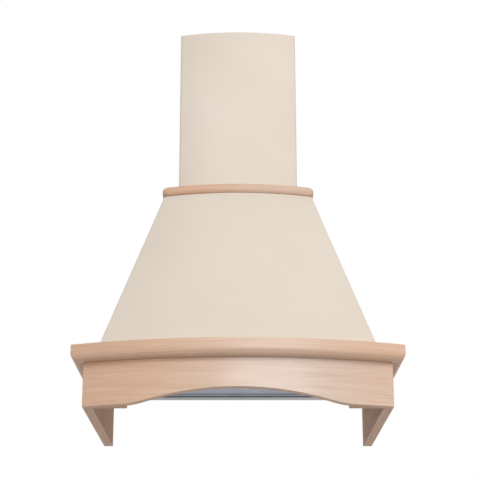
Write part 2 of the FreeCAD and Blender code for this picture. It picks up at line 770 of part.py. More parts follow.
# ---------------------------------------------------------------- controls
def controls():
    fascia_z0 = pan_height - fascia_thickness
    half = panel_width / 2.0
    y0 = control_y - panel_depth / 2.0
    y1 = control_y + panel_depth / 2.0
    fascia = block(0, control_y, half, panel_depth / 2.0, fascia_z0, pan_height)
    cap_z0 = fascia_z0 - button_proud
    flange_z0 = pan_height + button_clearance
    flange_z1 = flange_z0 + button_flange
    switch_z0 = flange_z1 + button_travel + switch_gap
    stem_top = switch_z0 + stem_radius
    well_top = stem_top + button_travel + stem_clearance
    foot = box(half - switch_foot, half, y0, y1, pan_top, switch_z0)
    switch = box(-half, half, y0, y1, switch_z0, switch_z0 + switch_height)
    switch = switch.fuse([foot, mirrored(foot)])
    first = -(len(button_names) - 1) / 2.0 * button_pitch
    half_x = button_width / 2.0
    half_y = button_depth / 2.0
    free = button_clearance
    rim = button_flange
    for index, name in enumerate(button_names):
        x = first + index * button_pitch

        def at(z):
            return vec(x, control_y, z)

        window = (half_x + free, half_y + free, fascia_z0 - 1.0, pan_height + 1.0)
        fascia = fascia.cut(block(x, control_y, *window))
        cap = block(x, control_y, half_x, half_y, cap_z0, flange_z1)
        lower_rim = [e for e in cap.Edges if all(abs(v.Point.z - cap_z0) < tiny for v in e.Vertexes)]
        cap = cap.makeFillet(button_proud / 2.0, lower_rim)
        flange = block(x, control_y, half_x + rim, half_y + rim, flange_z0, flange_z1)
        stem = rod(stem_radius, at(flange_z1), at(stem_top))
        write("button_" + name, cap.fuse([flange, stem]).removeSplitter())
        switch = switch.cut(rod(stem_radius + stem_clearance, at(switch_z0 - 1.0), at(well_top)))
    write("control_panel", drilled(fascia, sheet_screw, control_seats))
    write("switch_block", drilled(switch.removeSplitter(), sheet_screw, control_seats))


# ---------------------------------------------------------------- lamps
def lamps():
    bottom = pan_height - lamp_bezel_thickness
    lens_z0 = bottom + lamp_lip
    lens_z1 = lens_z0 + lamp_lens_thickness
    sleeve_top = pan_height + lamp_sleeve_height
    for side, x in (("left", -lamp_x), ("right", lamp_x)):

        def at(z):
            return vec(x, lamp_y, z)

        bezel = rod(lamp_bezel_radius, at(bottom), at(pan_height))
        bezel = bezel.makeFillet(lamp_bezel_round, rims_at(bezel, bottom))
        bezel = bezel.fuse(rod(lamp_sleeve_radius, at(pan_height), at(sleeve_top)))
        bezel = bezel.cut(rod(lamp_window_radius, at(bottom - 1.0), at(lens_z0)))
        bezel = bezel.cut(rod(lamp_lens_radius + lamp_fit, at(lens_z0), at(sleeve_top + 1.0)))
        write("lamp_bezel_" + side, bezel.removeSplitter())
        write("lamp_lens_" + side, rod(lamp_lens_radius, at(lens_z0), at(lens_z1)))
        holder = rod(lamp_lens_radius, at(lens_z1), at(sleeve_top))
        cap = rod(lamp_cap_radius, at(sleeve_top), at(sleeve_top + lamp_body_height))
        write("lamp_holder_" + side, holder.fuse(cap).removeSplitter())


def rims_at(solid, z):
    """A round solid's circular edges at height z."""
    return [e for e in solid.Edges if e.BoundBox.ZLength < tiny and abs(e.BoundBox.ZMin - z) < tiny]


# ---------------------------------------------------------------- fan
def axis_at(x):
    return vec(x, fan_y, fan_z)


def wheel_point(radius, degrees, x):
    turn = math.radians(degrees)
    return vec(x, fan_y + radius * math.cos(turn), fan_z + radius * math.sin(turn))


def scroll_point(quarter, offset, degrees, x):
    """A point outside the scroll's inner face, whose quarters each have a centre and a radius."""
    side_y, side_z = [(-1, -1), (1, -1), (1, 1)][quarter]
    shift = scroll_step / 2.0
    radius = scroll_start + quarter * scroll_step + offset
    return wheel_point(radius, degrees, x).add(vec(0, side_y * shift, side_z * shift))


def scroll_face(offset, x):
    """The scroll's side view at x: three growing quarters and the neck that rises to the top plate."""
    shift = scroll_step / 2.0
    rear_wall = shift + scroll_start + 2.0 * scroll_step
    front_wall = rear_wall - neck_depth - offset
    top = plate_bottom - fan_z
    tongue_angle = math.degrees(math.acos((front_wall + shift) / (scroll_start + offset)))
    spans = [(tongue_angle, 180.0), (180.0, 270.0), (270.0, 360.0)]
    edges = []
    for quarter, (a0, a1) in enumerate(spans):
        points = [scroll_point(quarter, offset, angle, x) for angle in (a0, (a0 + a1) / 2.0, a1)]
        if quarter > 0:
            points[0] = edges[-1].Vertexes[-1].Point
        edges.append(Part.Arc(*points).toShape())
    tongue = edges[0].Vertexes[0].Point
    heel = edges[-1].Vertexes[-1].Point
    rear_top = vec(x, heel.y, fan_z + top)
    front_top = vec(x, tongue.y, fan_z + top)
    edges.append(Part.makeLine(heel, rear_top))
    edges.append(Part.makeLine(rear_top, front_top))
    edges.append(Part.makeLine(front_top, tongue))
    return Part.Face(Part.Wire(edges))


def scroll_slab(offset, x0, x1):
    return scroll_face(offset, x0).extrude(vec(x1 - x0, 0, 0))


def scroll_screw_seats():
    """Seats on the scroll's clamping rim."""
    outside = scroll_wall + scroll_rim / 2.0
    seats = []
    for quarter, angles in enumerate(scroll_screw_angles):
        for angle in angles:
            seats.append((scroll_point(quarter, outside, angle, 2.0 * scroll_wall), vec(-1, 0, 0)))
    return seats


def fan_housing():
    wall = scroll_wall
    outer_half = scroll_half_width + wall
    half = scroll_slab(wall, 0, outer_half).cut(scroll_slab(0, -1.0, scroll_half_width))
    rim = scroll_slab(wall + scroll_rim, 0, 2.0 * wall).cut(scroll_slab(0, -1.0, 3.0 * wall))
    top = plate_bottom
    rim = rim.common(box(-1.0, big, -big, big, -big, top - 2.0 * wall))
    wide = wall + neck_flange
    flange = box(0, outer_half + neck_flange, neck_y0 - wide, neck_y1 + wide, top - 2.0 * wall, top)
    flange = flange.cut(box(-1.0, scroll_half_width, neck_y0, neck_y1, top - 3.0 * wall, top + 1.0))
    half = half.fuse([rim, flange]).removeSplitter()
    inlet = rod(inlet_radius, vec(-1.0, fan_y, fan_z), vec(outer_half + 1.0, fan_y, fan_z))
    half = half.cut(inlet.common(box(wheel_half_width, outer_half + 1.0, -big, big, -big, big)))
    half = drilled(half, machine_screw, neck_seats)
    right = drilled(half, machine_screw, scroll_screw_seats())
    left = drilled(mirrored(half), machine_screw, scroll_screw_seats() + arm_seats())
    write("fan_housing_right", right)
    write("fan_housing_left", left)


def blade(start, x0, x1):
    """One blade, curved forward, whose foot is at the angle start."""
    foot = wheel_inner_radius + blade_inset
    tip = wheel_radius - blade_inset
    stations = ((foot, 0.0), ((foot + tip) / 2.0, blade_mid_sweep), (tip, blade_sweep))
    skins = []
    for side in (-1, 1):
        lift = side * blade_thickness / 2.0
        skins.append([wheel_point(r, start + lead + math.degrees(lift / r), x0) for r, lead in stations])
    under, over = skins
    edges = [
        Part.Arc(*under).toShape(),
        Part.makeLine(under[2], over[2]),
        Part.Arc(over[2], over[1], over[0]).toShape(),
        Part.makeLine(over[0], under[0]),
    ]
    return Part.Face(Part.Wire(edges)).extrude(vec(x1 - x0, 0, 0))


def impeller():
    """A double-inlet wheel: blades through slots in a middle disc with a hub, and a ring on each end."""
    half = wheel_half_width
    reach = half - wheel_ring
    blades = [blade(360.0 / blade_count * index, -reach, reach) for index in range(blade_count)]
    disc = rod(wheel_radius, axis_at(-wheel_disc / 2.0), axis_at(wheel_disc / 2.0))
    hub = rod(wheel_hub_radius, axis_at(-wheel_hub_length / 2.0), axis_at(wheel_hub_length / 2.0))
    disc = disc.fuse(hub).removeSplitter().cut(rod(shaft_radius, axis_at(-big), axis_at(big)))
    spans = ((-half, -reach), (reach, half))
    rings = [tube(wheel_radius, wheel_inner_radius, axis_at(x0), axis_at(x1)) for x0, x1 in spans]
    write("impeller_disc", disc.cut(blades))
    write("impeller_rings", *rings)
    write("impeller_blades", *blades)


def arm_seats():
    """Three seats on the left side plate, around the inlet."""
    seats = []
    radius = inlet_radius + arm_overlap / 2.0
    for degrees in arm_angles:
        seats.append((wheel_point(radius, degrees, ring_x0), vec(1, 0, 0)))
    return seats


def motor_housing():
    can = tube(motor_radius, motor_radius - motor_wall, axis_at(motor_x0), axis_at(motor_x1))
    bores = ((motor_x0, motor_x0 + motor_wall), (motor_x1 - motor_wall, motor_x1))
    for x0, x1 in bores:
        can = can.fuse(tube(motor_radius, bearing_radius, axis_at(x0), axis_at(x1)))
    seat_wall = bearing_radius + motor_wall
    bearings = []
    for x0 in (motor_x0, motor_x1 - bearing_width):
        ends = (axis_at(x0), axis_at(x0 + bearing_width))
        can = can.fuse(tube(seat_wall, bearing_radius, *ends))
        bearings.append(tube(bearing_radius, shaft_radius + bearing_clearance, *ends))
    write("motor_housing", can.removeSplitter())
    write("motor_bearings", *bearings)


def motor_core():
    middle = (motor_x0 + motor_x1) / 2.0
    stack0 = axis_at(middle - rotor_length / 2.0)
    stack1 = axis_at(middle + rotor_length / 2.0)
    write("motor_stator", tube(motor_radius - motor_wall, stator_inner_radius, stack0, stack1))
    write("motor_rotor", tube(stator_inner_radius - rotor_gap, shaft_radius, stack0, stack1))
    shaft_x1 = wheel_hub_length / 2.0 + motor_gap
    write("motor_shaft", rod(shaft_radius, axis_at(motor_x0 - motor_gap), axis_at(shaft_x1)))


def motor_bracket():
    ring_ends = (axis_at(ring_x0), axis_at(ring_x0 + ring_width))
    bracket = tube(motor_radius + ring_thickness, motor_radius, *ring_ends)
    arm_z0 = fan_z + motor_radius + ring_thickness / 2.0
    arm_z1 = fan_z + inlet_radius + arm_overlap
    half_arm = arm_width / 2.0
    for degrees in arm_angles:
        arm = box(ring_x0, ring_x1, fan_y - half_arm, fan_y + half_arm, arm_z0, arm_z1)
        arm.rotate(axis_at(0), vec(1, 0, 0), degrees - arm_angles[0])
        bracket = bracket.fuse(arm)
    write("motor_bracket", drilled(bracket.removeSplitter(), machine_screw, arm_seats()))


# ---------------------------------------------------------------- outlet and backdraught flaps
def spigot_at(z):
    return vec(0, spigot_y, z)


def axle_rod(radius, half_length):
    """A round bar along the flaps' axle."""
    return rod(radius, vec(-half_length, spigot_y, axle_z), vec(half_length, spigot_y, axle_z))


def duct_spigot():
    z0 = plate_top
    stop_z1 = flap_z0 - flap_rest_gap
    stop_z0 = stop_z1 - spigot_wall
    ring = tube(spigot_radius, spigot_bore, spigot_at(z0), spigot_at(z0 + spigot_height))
    flange = tube(spigot_radius + spigot_flange, spigot_bore, spigot_at(z0), spigot_at(z0 + spigot_wall))
    stop = tube(spigot_radius, spigot_bore - flap_stop, spigot_at(stop_z0), spigot_at(stop_z1))
    axle = axle_rod(axle_radius, spigot_radius)
    spigot = ring.fuse([flange, stop]).removeSplitter().cut(axle)
    write("duct_spigot", drilled(spigot, machine_screw, neck_seats))
    write("damper_axle", axle)


def damper_flaps():
    """Two half discs with interleaved knuckles on one axle."""
    knuckle = axle_radius + pivot_clearance + knuckle_wall
    disc = rod(spigot_bore - flap_gap, spigot_at(flap_z0), spigot_at(flap_z1))
    disc = disc.cut(axle_rod(knuckle + pivot_gap, big))
    leaf_reach = knuckle + 2.0 * pivot_gap
    for name, side in (("front", -1), ("rear", 1)):
        y0, y1 = sorted((spigot_y, spigot_y + side * big))
        flap = disc.common(box(-big, big, y0, y1, 0, big))
        y0, y1 = sorted((spigot_y, spigot_y + side * leaf_reach))
        for index in (-2, 0) if side < 0 else (-1, 1):
            x0 = index * knuckle_length + pivot_gap / 2.0
            x1 = (index + 1) * knuckle_length - pivot_gap / 2.0
            barrel = rod(knuckle, vec(x0, spigot_y, axle_z), vec(x1, spigot_y, axle_z))
            flap = flap.fuse([barrel, box(x0, x1, y0, y1, flap_z0, flap_z1)])
        flap = flap.cut(axle_rod(axle_radius + pivot_clearance, spigot_radius))
        write("damper_flap_" + name, flap.removeSplitter())


# ---------------------------------------------------------------- electrics
box_x = frame_plan.half - box_inset - box_width / 2.0
box_y = -back_thickness - box_depth / 2.0
electrics_z = pan_top + electrics_lift
box_top = electrics_z + box_height


def box_lid_at(z):
    return vec(box_x, box_y, z)


def junction_box():
    half_x = box_width / 2.0
    half_y = box_depth / 2.0
    shell = block(box_x, box_y, half_x, half_y, electrics_z, box_top)
    room = (half_x - box_wall, half_y - box_wall, electrics_z + box_wall, box_top - box_wall)
    shell = shell.cut(block(box_x, box_y, *room))
    shell = shell.cut(rod(gland_thread_radius, box_lid_at(box_top - box_wall), box_lid_at(box_top)))
    write("junction_box", shell)


def cable_gland():
    corners = [math.radians(angle) for angle in range(0, 361, 60)]
    spokes = [vec(gland_radius * math.cos(a), gland_radius * math.sin(a), 0) for a in corners]
    hexagon = Part.makePolygon([box_lid_at(box_top).add(spoke) for spoke in spokes])
    nut = Part.Face(hexagon).extrude(vec(0, 0, gland_nut))
    cone_foot = box_lid_at(box_top + gland_nut)
    cone = Part.makeCone(gland_cone_radius, gland_thread_radius, gland_cone, cone_foot, vec(0, 0, 1))
    thread = rod(gland_thread_radius, box_lid_at(box_top - box_wall), box_lid_at(box_top))
    bore = rod(gland_bore, box_lid_at(electrics_z), box_lid_at(big))
    write("cable_gland", nut.fuse([cone, thread]).cut(bore).removeSplitter())


def capacitor():
    x = -box_x
    y = -back_thickness - capacitor_radius - capacitor_strap
    strap_z0 = electrics_z + (capacitor_length - strap_width) / 2.0
    strap_z1 = strap_z0 + strap_width
    half_saddle = capacitor_radius / 2.0
    body = rod(capacitor_radius, vec(x, y, electrics_z), vec(x, y, electrics_z + capacitor_length))
    saddle = box(x - half_saddle, x + half_saddle, y, -back_thickness, strap_z0, strap_z1)
    strap = rod(capacitor_radius + capacitor_strap, vec(x, y, strap_z0), vec(x, y, strap_z1))
    write("capacitor", body.fuse([saddle, strap]).removeSplitter())


# ---------------------------------------------------------------- fasteners
def fasteners():
    write("wood_screws", *[screw(wood_screw, *s) for s in angle_wood_seats])
    sheet_seats = angle_sheet_seats + collar_seats + foot_seats + pan_seats + control_seats
    write("sheet_screws", *[screw(sheet_screw, *s) for s in sheet_seats])
    machine_seats = neck_seats + scroll_screw_seats() + arm_seats()
    write("machine_screws", *[screw(machine_screw, *s) for s in machine_seats])


front_rail()
side_panels()
corner_blocks()
crown_moulding()
collar()
canopy_shell()
back_panel()
top_plate()
chimney_lower()
chimney_upper()
chimney_bracket()
base_pan()
frame_brackets()
grease_filter()
controls()
lamps()
fan_housing()
impeller()
motor_housing()
motor_core()
motor_bracket()
duct_spigot()
damper_flaps()
junction_box()
cable_gland()
capacitor()
fasteners()

for node, shape in made:
    state = "ok" if shape.isValid() else "INVALID"
    print(node, len(shape.Solids), round(shape.Volume), state)
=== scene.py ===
"""The looks of a country-style wall range hood: beech frame and collar, cream canopy and cover.

Metres. +X is to the right seen from the front, +Y points into the wall, +Z is up.
The origin is on the wall, halfway between the hanging holes.
"""

import math

import bmesh
import bpy
from mathutils import Matrix, Vector


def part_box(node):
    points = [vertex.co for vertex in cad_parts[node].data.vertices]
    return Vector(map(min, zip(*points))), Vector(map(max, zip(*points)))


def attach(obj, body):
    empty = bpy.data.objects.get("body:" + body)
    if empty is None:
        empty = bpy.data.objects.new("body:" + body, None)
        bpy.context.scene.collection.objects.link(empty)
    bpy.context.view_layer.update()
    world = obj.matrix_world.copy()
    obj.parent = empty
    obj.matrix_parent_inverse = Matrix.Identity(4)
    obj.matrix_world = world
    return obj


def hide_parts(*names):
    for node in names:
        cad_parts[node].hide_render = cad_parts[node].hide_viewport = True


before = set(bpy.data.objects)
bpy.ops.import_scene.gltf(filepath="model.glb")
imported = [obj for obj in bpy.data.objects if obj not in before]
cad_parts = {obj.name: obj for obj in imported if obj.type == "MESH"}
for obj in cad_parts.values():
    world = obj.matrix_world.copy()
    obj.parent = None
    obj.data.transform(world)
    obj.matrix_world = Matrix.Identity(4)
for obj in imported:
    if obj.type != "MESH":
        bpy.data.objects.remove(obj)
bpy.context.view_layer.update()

MM = 0.001

# ---------------------------------------------------------------- sizes
wall_y = 0.0
frame_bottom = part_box("front_rail")[0].z
frame_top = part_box("front_rail")[1].z
frame_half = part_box("front_rail")[1].x
frame_bow = 49.5 * MM
board = 18 * MM
rail_round = 1.2 * MM
board_round = 0.8 * MM
arch_rise = 26.5 * MM
arch_half_span = frame_half - 69 * MM
arch_foot_radius = 163 * MM

moulding_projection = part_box("front_rail")[0].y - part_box("crown_moulding_front")[0].y
moulding_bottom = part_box("crown_moulding_front")[0].z
moulding_round = 14 * MM
moulding_edge = 0.6 * MM
moulding_angle = 20.0  # degrees from which its edges are crisp

sheet = 1 * MM
sheet_corner = 4.5 * MM
canopy_clearance = 0.3 * MM
canopy_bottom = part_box("canopy_shell")[0].z
canopy_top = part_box("canopy_shell")[1].z
canopy_foot_flange = 14 * MM
canopy_top_margin = 28 * MM
canopy_neck_inset = 24 * MM

chimney_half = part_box("chimney_lower")[1].x
chimney_bow = 17 * MM
chimney_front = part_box("chimney_lower")[0].y
chimney_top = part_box("chimney_lower")[1].z
chimney_foot = 16 * MM
chimney_return = 12 * MM
fold_round = 1.6 * MM
sleeve_gap = 0.5 * MM
sleeve_sheet = 0.8 * MM
sleeve_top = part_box("chimney_upper")[1].z

collar_projection = 32 * MM
collar_gap = 0.3 * MM
collar_height = 20 * MM
collar_nose = 8.5 * MM
collar_corner = 12 * MM
collar_edge = 0.35 * MM

sheet_edge = 0.3 * MM
sleeve_edge = 0.25 * MM
bend_angle = 40.0  # degrees from which a sheet's bend is shown crisp
fold_angle = 50.0  # degrees from which an edge is rounded


# ---------------------------------------------------------------- plans
class BowPlan:
    """A plan outline with straight sides that run back to the wall and a front bowed as one arc."""

    def __init__(self, half, radius, centre_y):
        self.half = half
        self.radius = radius
        self.centre_y = centre_y

    def grown(self, offset):
        return BowPlan(self.half + offset, self.radius + offset, self.centre_y)

    def front_y(self, x=0.0):
        return self.centre_y - math.sqrt(self.radius**2 - x**2)

    def corner_y(self):
        return self.front_y(self.half)

    def path(self, corner_round, back=wall_y, side_steps=8, corner_steps=8, front_steps=32):
        """Points from the left end at the wall round the front to the right end."""
        across = self.half - corner_round
        reach = self.radius - corner_round
        centre = Vector((across, self.centre_y - math.sqrt(reach**2 - across**2)))
        lead = math.atan2(centre.y - self.centre_y, centre.x)
        right = []
        for step in range(front_steps):
            turn = -math.pi / 2 + (lead + math.pi / 2) * step / front_steps
            ahead = self.centre_y + self.radius * math.sin(turn)
            right.append(Vector((self.radius * math.cos(turn), ahead)))
        for step in range(corner_steps):
            turn = lead * (1 - step / corner_steps)
            right.append(centre + corner_round * Vector((math.cos(turn), math.sin(turn))))
        for step in range(side_steps + 1):
            right.append(Vector((self.half, centre.y + (back - centre.y) * step / side_steps)))
        left = [Vector((-p.x, p.y)) for p in right[:0:-1]]
        return left + right


def bow_plan(half, front, bow):
    """The plan whose bowed front stands at y = front in the middle and bow less at its corners."""
    radius = (half**2 + bow**2) / (2 * bow)
    return BowPlan(half, radius, front + radius)


frame_plan = bow_plan(frame_half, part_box("front_rail")[0].y, frame_bow)
rail_back = BowPlan(frame_half - board, frame_plan.radius - board, frame_plan.centre_y)
canopy_foot_plan = rail_back.grown(-canopy_clearance)
chimney_plan = bow_plan(chimney_half, chimney_front, chimney_bow)
canopy_top_plan = chimney_plan.grown(canopy_top_margin)
collar_plan = chimney_plan.grown(collar_projection)
sleeve_plan = chimney_plan.grown(-sheet - sleeve_gap)


# ---------------------------------------------------------------- node trees
def add(tree, kind, inputs=None, **settings):
    """One shader node; an input is a value or the socket that feeds it."""
    node = tree.nodes.new("ShaderNode" + kind)
    for key, value in settings.items():
        setattr(node, key, value)
    for key, value in (inputs or {}).items():
        if isinstance(value, bpy.types.NodeSocket):
            tree.links.new(value, node.inputs[key])
        else:
            node.inputs[key].default_value = value
    return node


def calc(tree, operation, a, b=0.0, c=0.0):
    return add(tree, "Math", {0: a, 1: b, 2: c}, operation=operation).outputs[0]


def stretched(tree, vector, scale, offset=(0.0, 0.0, 0.0)):
    """Coordinates scaled by scale after offset is added."""
    moved = add(tree, "VectorMath", {0: vector, 1: offset}, operation="ADD").outputs[0]
    return add(tree, "VectorMath", {0: moved, 1: scale}, operation="MULTIPLY").outputs[0]


def noise(tree, vector, detail=2.0, rough=0.5):
    inputs = {"Vector": vector, "Scale": 1.0, "Detail": detail, "Roughness": rough}
    return add(tree, "TexNoise", inputs).outputs["Fac"]


def ramp(tree, value, low, high, to_low=0.0, to_high=1.0):
    """Maps low..high smoothly to to_low..to_high and holds the ends."""
    inputs = {"Value": value, "From Min": low, "From Max": high}
    inputs.update({"To Min": to_low, "To Max": to_high})
    return add(tree, "MapRange", inputs, interpolation_type="SMOOTHSTEP").outputs["Result"]


def mixed(tree, factor, a, b, blend="MIX"):
    """Colour a, with factor of colour b blended in."""
    node = add(tree, "Mix", data_type="RGBA", blend_type=blend)
    for index, value in ((0, factor), (6, a), (7, b)):
        if isinstance(value, bpy.types.NodeSocket):
            tree.links.new(value, node.inputs[index])
        else:
            node.inputs[index].default_value = value
    return node.outputs[2]


def bump(tree, height, distance, strength):
    inputs = {"Height": height, "Distance": distance, "Strength": strength}
    return add(tree, "Bump", inputs).outputs["Normal"]


def srgb(red, green, blue):
    """A colour given as 0..255 display values, as the linear colour a shader takes."""

    def linear(value):
        share = value / 255
        return share / 12.92 if share <= 0.04045 else ((share + 0.055) / 1.055) ** 2.4

    return (linear(red), linear(green), linear(blue), 1.0)


def even(scale):
    """The same scale along X, Y and Z."""
    return (scale, scale, scale)


def new_material(name, **sockets):
    """A material with a Principled shader; the sockets' constants sit on the shader itself."""
    material = bpy.data.materials.new(name)
    material.use_nodes = True
    tree = material.node_tree
    tree.nodes.clear()
    shader = add(tree, "BsdfPrincipled")
    for key, value in sockets.items():
        shader.inputs[key.replace("_", " ")].default_value = value
    output = add(tree, "OutputMaterial")
    tree.links.new(shader.outputs["BSDF"], output.inputs["Surface"])
    return material, tree, shader


def feed(tree, shader, **sockets):
    for key, value in sockets.items():
        tree.links.new(value, shader.inputs[key.replace("_", " ")])


def object_point(tree):
    return add(tree, "TexCoord").outputs["Object"]


# ---------------------------------------------------------------- wood
def bowed_grain(tree, plan):
    """Coordinates whose X runs along the bow, Y into the board and Z up."""
    point = add(tree, "SeparateXYZ", {0: object_point(tree)})
    ahead = calc(tree, "SUBTRACT", plan.centre_y, point.outputs["Y"])
    turn = calc(tree, "ARCTAN2", point.outputs["X"], ahead)
    across = calc(tree, "POWER", point.outputs["X"], 2.0)
    out = calc(tree, "SQRT", calc(tree, "ADD", across, calc(tree, "POWER", ahead, 2.0)))
    along = calc(tree, "MULTIPLY", turn, plan.radius)
    depth = calc(tree, "SUBTRACT", out, plan.radius)
    return add(tree, "CombineXYZ", {0: along, 1: depth, 2: point.outputs["Z"]}).outputs[0]


def straight_grain(tree):
    """Coordinates whose X runs from the front to the wall."""
    point = add(tree, "SeparateXYZ", {0: object_point(tree)})
    swapped = {0: point.outputs["Y"], 1: point.outputs["X"], 2: point.outputs["Z"]}
    return add(tree, "CombineXYZ", swapped).outputs[0]


beech_pale = srgb(229, 203, 182)
beech_light = srgb(219, 184, 158)
beech_tan = srgb(211, 174, 145)
beech_dark = srgb(191, 147, 119)
beech_fleck = srgb(159, 105, 76)
# painted sheen: a paler, greyer beech laid where the light's sheen falls on the boards
beech_painted_sheen = srgb(211, 194, 181)
ring_pitch = 6.5 * MM
pith_behind = 0.045  # the pith's place behind and below the board
pith_below = 0.36
pith_step = 0.004
warp_swing = 0.034  # how far slow and quick noise bend the growth rings
ripple_swing = 0.004
# how far slow noise bends the ends of the painted sheen
painted_sheen_swing = 0.08
painted_sheen_fade = (0.15, 0.11)  # from beyond to within the painted sheen's half length
late_share = 0.22
fleck_share = 0.34
relief_depth = 0.06 * MM
seed_steps = (0.73, 0.11, 0.07)  # how far each seed moves the pattern

# Noise cells per metre along the grain, into the board and up.
warp_cells = (2.6, 9.0, 9.0)
ripple_cells = (14.0, 40.0, 40.0)
year_cells = (1.1, 30.0, 30.0)
band_cells = (1.6, 26.0, 26.0)
streak_cells = (7.0, 420.0, 420.0)
fibre_cells = (45.0, 2600.0, 2600.0)
fleck_cells = (230.0, 1500.0, 1500.0)


def growth_rings(tree, grain, shift, seed, warp):
    """1 in the dark late wood of the rings that the board's face cuts, 0 elsewhere."""
    ripple = noise(tree, stretched(tree, grain, ripple_cells, shift), detail=2.0)
    pith = stretched(tree, grain, even(1.0), (0.0, pith_behind, pith_below + seed * pith_step))
    away = add(tree, "SeparateXYZ", {0: pith})
    depth2 = calc(tree, "POWER", away.outputs["Y"], 2.0)
    height2 = calc(tree, "POWER", away.outputs["Z"], 2.0)
    radius = calc(tree, "SQRT", calc(tree, "ADD", depth2, height2))
    radius = calc(tree, "MULTIPLY_ADD", warp, warp_swing, radius)
    radius = calc(tree, "MULTIPLY_ADD", ripple, ripple_swing, radius)
    phase = calc(tree, "FRACT", calc(tree, "DIVIDE", radius, ring_pitch))
    late = calc(tree, "MULTIPLY", ramp(tree, phase, 0.25, 0.93), ramp(tree, phase, 1.0, 0.94))
    year = noise(tree, stretched(tree, grain, year_cells, shift), detail=1.0)
    return calc(tree, "MULTIPLY", late, ramp(tree, year, 0.3, 0.7, 0.25, 1.0))


def ray_flecks(tree, grain, shift):
    """1 in the short flecks that the rays leave, 0 elsewhere."""
    cell = {"Vector": stretched(tree, grain, fleck_cells, shift), "Scale": 1.0}
    cells = add(tree, "TexVoronoi", cell)
    chosen = add(tree, "SeparateColor", {0: cells.outputs["Color"]}).outputs[0]
    core = ramp(tree, cells.outputs["Distance"], 0.34, 0.16)
    return calc(tree, "MULTIPLY", core, ramp(tree, chosen, 0.5, 0.62))


def beech(
    name,
    seed,
    plan=None,
    roughness=0.5,
    gloss=0.5,
    sheen=0.45,
    fair=0.0,
    pale=None,
    heart=(1.0, 1.0, 1.0),
):
    """Sanded beech: growth bands, fine fibres and the short dark flecks of its rays.

    fair takes the darker bands out, pale is a stretch of painted sheen, a paler and greyer tone
    with its middle, half length and strength, and heart is the deeper tone of the rest of the
    board.
    """
    material, tree, shader = new_material(
        name, Specular_IOR_Level=gloss, Coat_Weight=sheen, Coat_Roughness=0.2
    )
    grain = bowed_grain(tree, plan) if plan else straight_grain(tree)
    shift = tuple(seed * step for step in seed_steps)
    warp = noise(tree, stretched(tree, grain, warp_cells, shift), detail=2.0)
    late = growth_rings(tree, grain, shift, seed, warp)
    bands = noise(tree, stretched(tree, grain, band_cells, shift), detail=3.0)
    bands = ramp(tree, bands, 0.28, 0.72)
    streaks = noise(tree, stretched(tree, grain, streak_cells, shift), detail=4.0, rough=0.6)
    fibres = noise(tree, stretched(tree, grain, fibre_cells, shift), detail=3.0, rough=0.6)
    fleck = ray_flecks(tree, grain, shift)

    colour = mixed(tree, calc(tree, "MULTIPLY", bands, 1.0 - fair), beech_light, beech_tan)
    colour = mixed(tree, 1.0, colour, (*heart, 1.0), blend="MULTIPLY")
    # painted sheen: a paler, greyer stretch along the grain where the light's sheen falls on the
    # bow
    if pale:
        middle, reach, strength = pale
        beyond, within = painted_sheen_fade
        along = add(tree, "SeparateXYZ", {0: grain}).outputs["X"]
        away = calc(tree, "ABSOLUTE", calc(tree, "SUBTRACT", along, middle))
        away = calc(tree, "MULTIPLY_ADD", warp, painted_sheen_swing, away)
        share = ramp(tree, away, reach + beyond, reach - within, 0.0, strength)
        colour = mixed(tree, share, colour, beech_painted_sheen)
    colour = mixed(tree, calc(tree, "MULTIPLY", late, late_share), colour, beech_dark)
    colour = mixed(tree, ramp(tree, streaks, 0.42, 0.72, 0.0, 0.26), colour, beech_dark)
    colour = mixed(tree, ramp(tree, streaks, 0.5, 0.3, 0.0, 0.3), colour, beech_pale)
    colour = mixed(tree, ramp(tree, fibres, 0.45, 0.8, 0.0, 0.24), colour, beech_dark)
    colour = mixed(tree, calc(tree, "MULTIPLY", fleck, fleck_share), colour, beech_fleck)
    relief = calc(tree, "MULTIPLY_ADD", fibres, 0.6, streaks)
    relief = calc(tree, "MULTIPLY_ADD", fleck, -0.5, relief)
    feed(
        tree,
        shader,
        Base_Color=colour,
        Roughness=ramp(tree, streaks, 0.3, 0.7, roughness, roughness + 0.1),
        Normal=bump(tree, relief, relief_depth, 0.45),
    )
    return material


# ---------------------------------------------------------------- paints, metals and plastics
def painted(name, colour, shade, roughness, peel=0.16):
    """Stoved powder coat with orange peel and a faint drift of tone."""
    material, tree, shader = new_material(
        name, Specular_IOR_Level=0.45, Coat_Weight=0.12, Coat_Roughness=0.28
    )
    point = object_point(tree)
    drift = noise(tree, stretched(tree, point, even(5.0)), detail=3.0)
    speck = noise(tree, stretched(tree, point, even(1400.0)), detail=1.0)
    tone = mixed(tree, ramp(tree, drift, 0.3, 0.7), colour, shade)
    tone = mixed(tree, ramp(tree, speck, 0.6, 0.8, 0.0, 0.10), tone, shade)
    skin = noise(tree, stretched(tree, point, even(420.0)), detail=2.0)
    feed(
        tree,
        shader,
        Base_Color=tone,
        Roughness=ramp(tree, drift, 0.3, 0.7, roughness, roughness + 0.06),
        Normal=bump(tree, skin, peel * MM, 0.22),
    )
    return material


def galvanised(name):
    """Hot-dip zinc with its crystal spangle."""
    material, tree, shader = new_material(name, Metallic=0.85)
    point = object_point(tree)
    warp = noise(tree, stretched(tree, point, even(60.0)), detail=2.0)
    fine = stretched(tree, point, even(150.0))
    bent = add(tree, "VectorMath", {0: fine, 1: warp}, operation="ADD").outputs[0]
    cells = add(tree, "TexVoronoi", {"Vector": bent, "Scale": 1.0})
    pick = add(tree, "SeparateColor", {0: cells.outputs["Color"]})
    wide = noise(tree, stretched(tree, point, even(7.0)), detail=3.0)
    tone = mixed(tree, pick.outputs[0], srgb(166, 171, 175), srgb(190, 194, 197))
    tone = mixed(tree, ramp(tree, wide, 0.3, 0.7, 0.0, 0.3), tone, srgb(152, 156, 160))
    feed(
        tree,
        shader,
        Base_Color=tone,
        Roughness=ramp(tree, pick.outputs[1], 0.0, 1.0, 0.38, 0.52),
        Normal=bump(tree, cells.outputs["Distance"], 0.04 * MM, 0.2),
    )
    return material


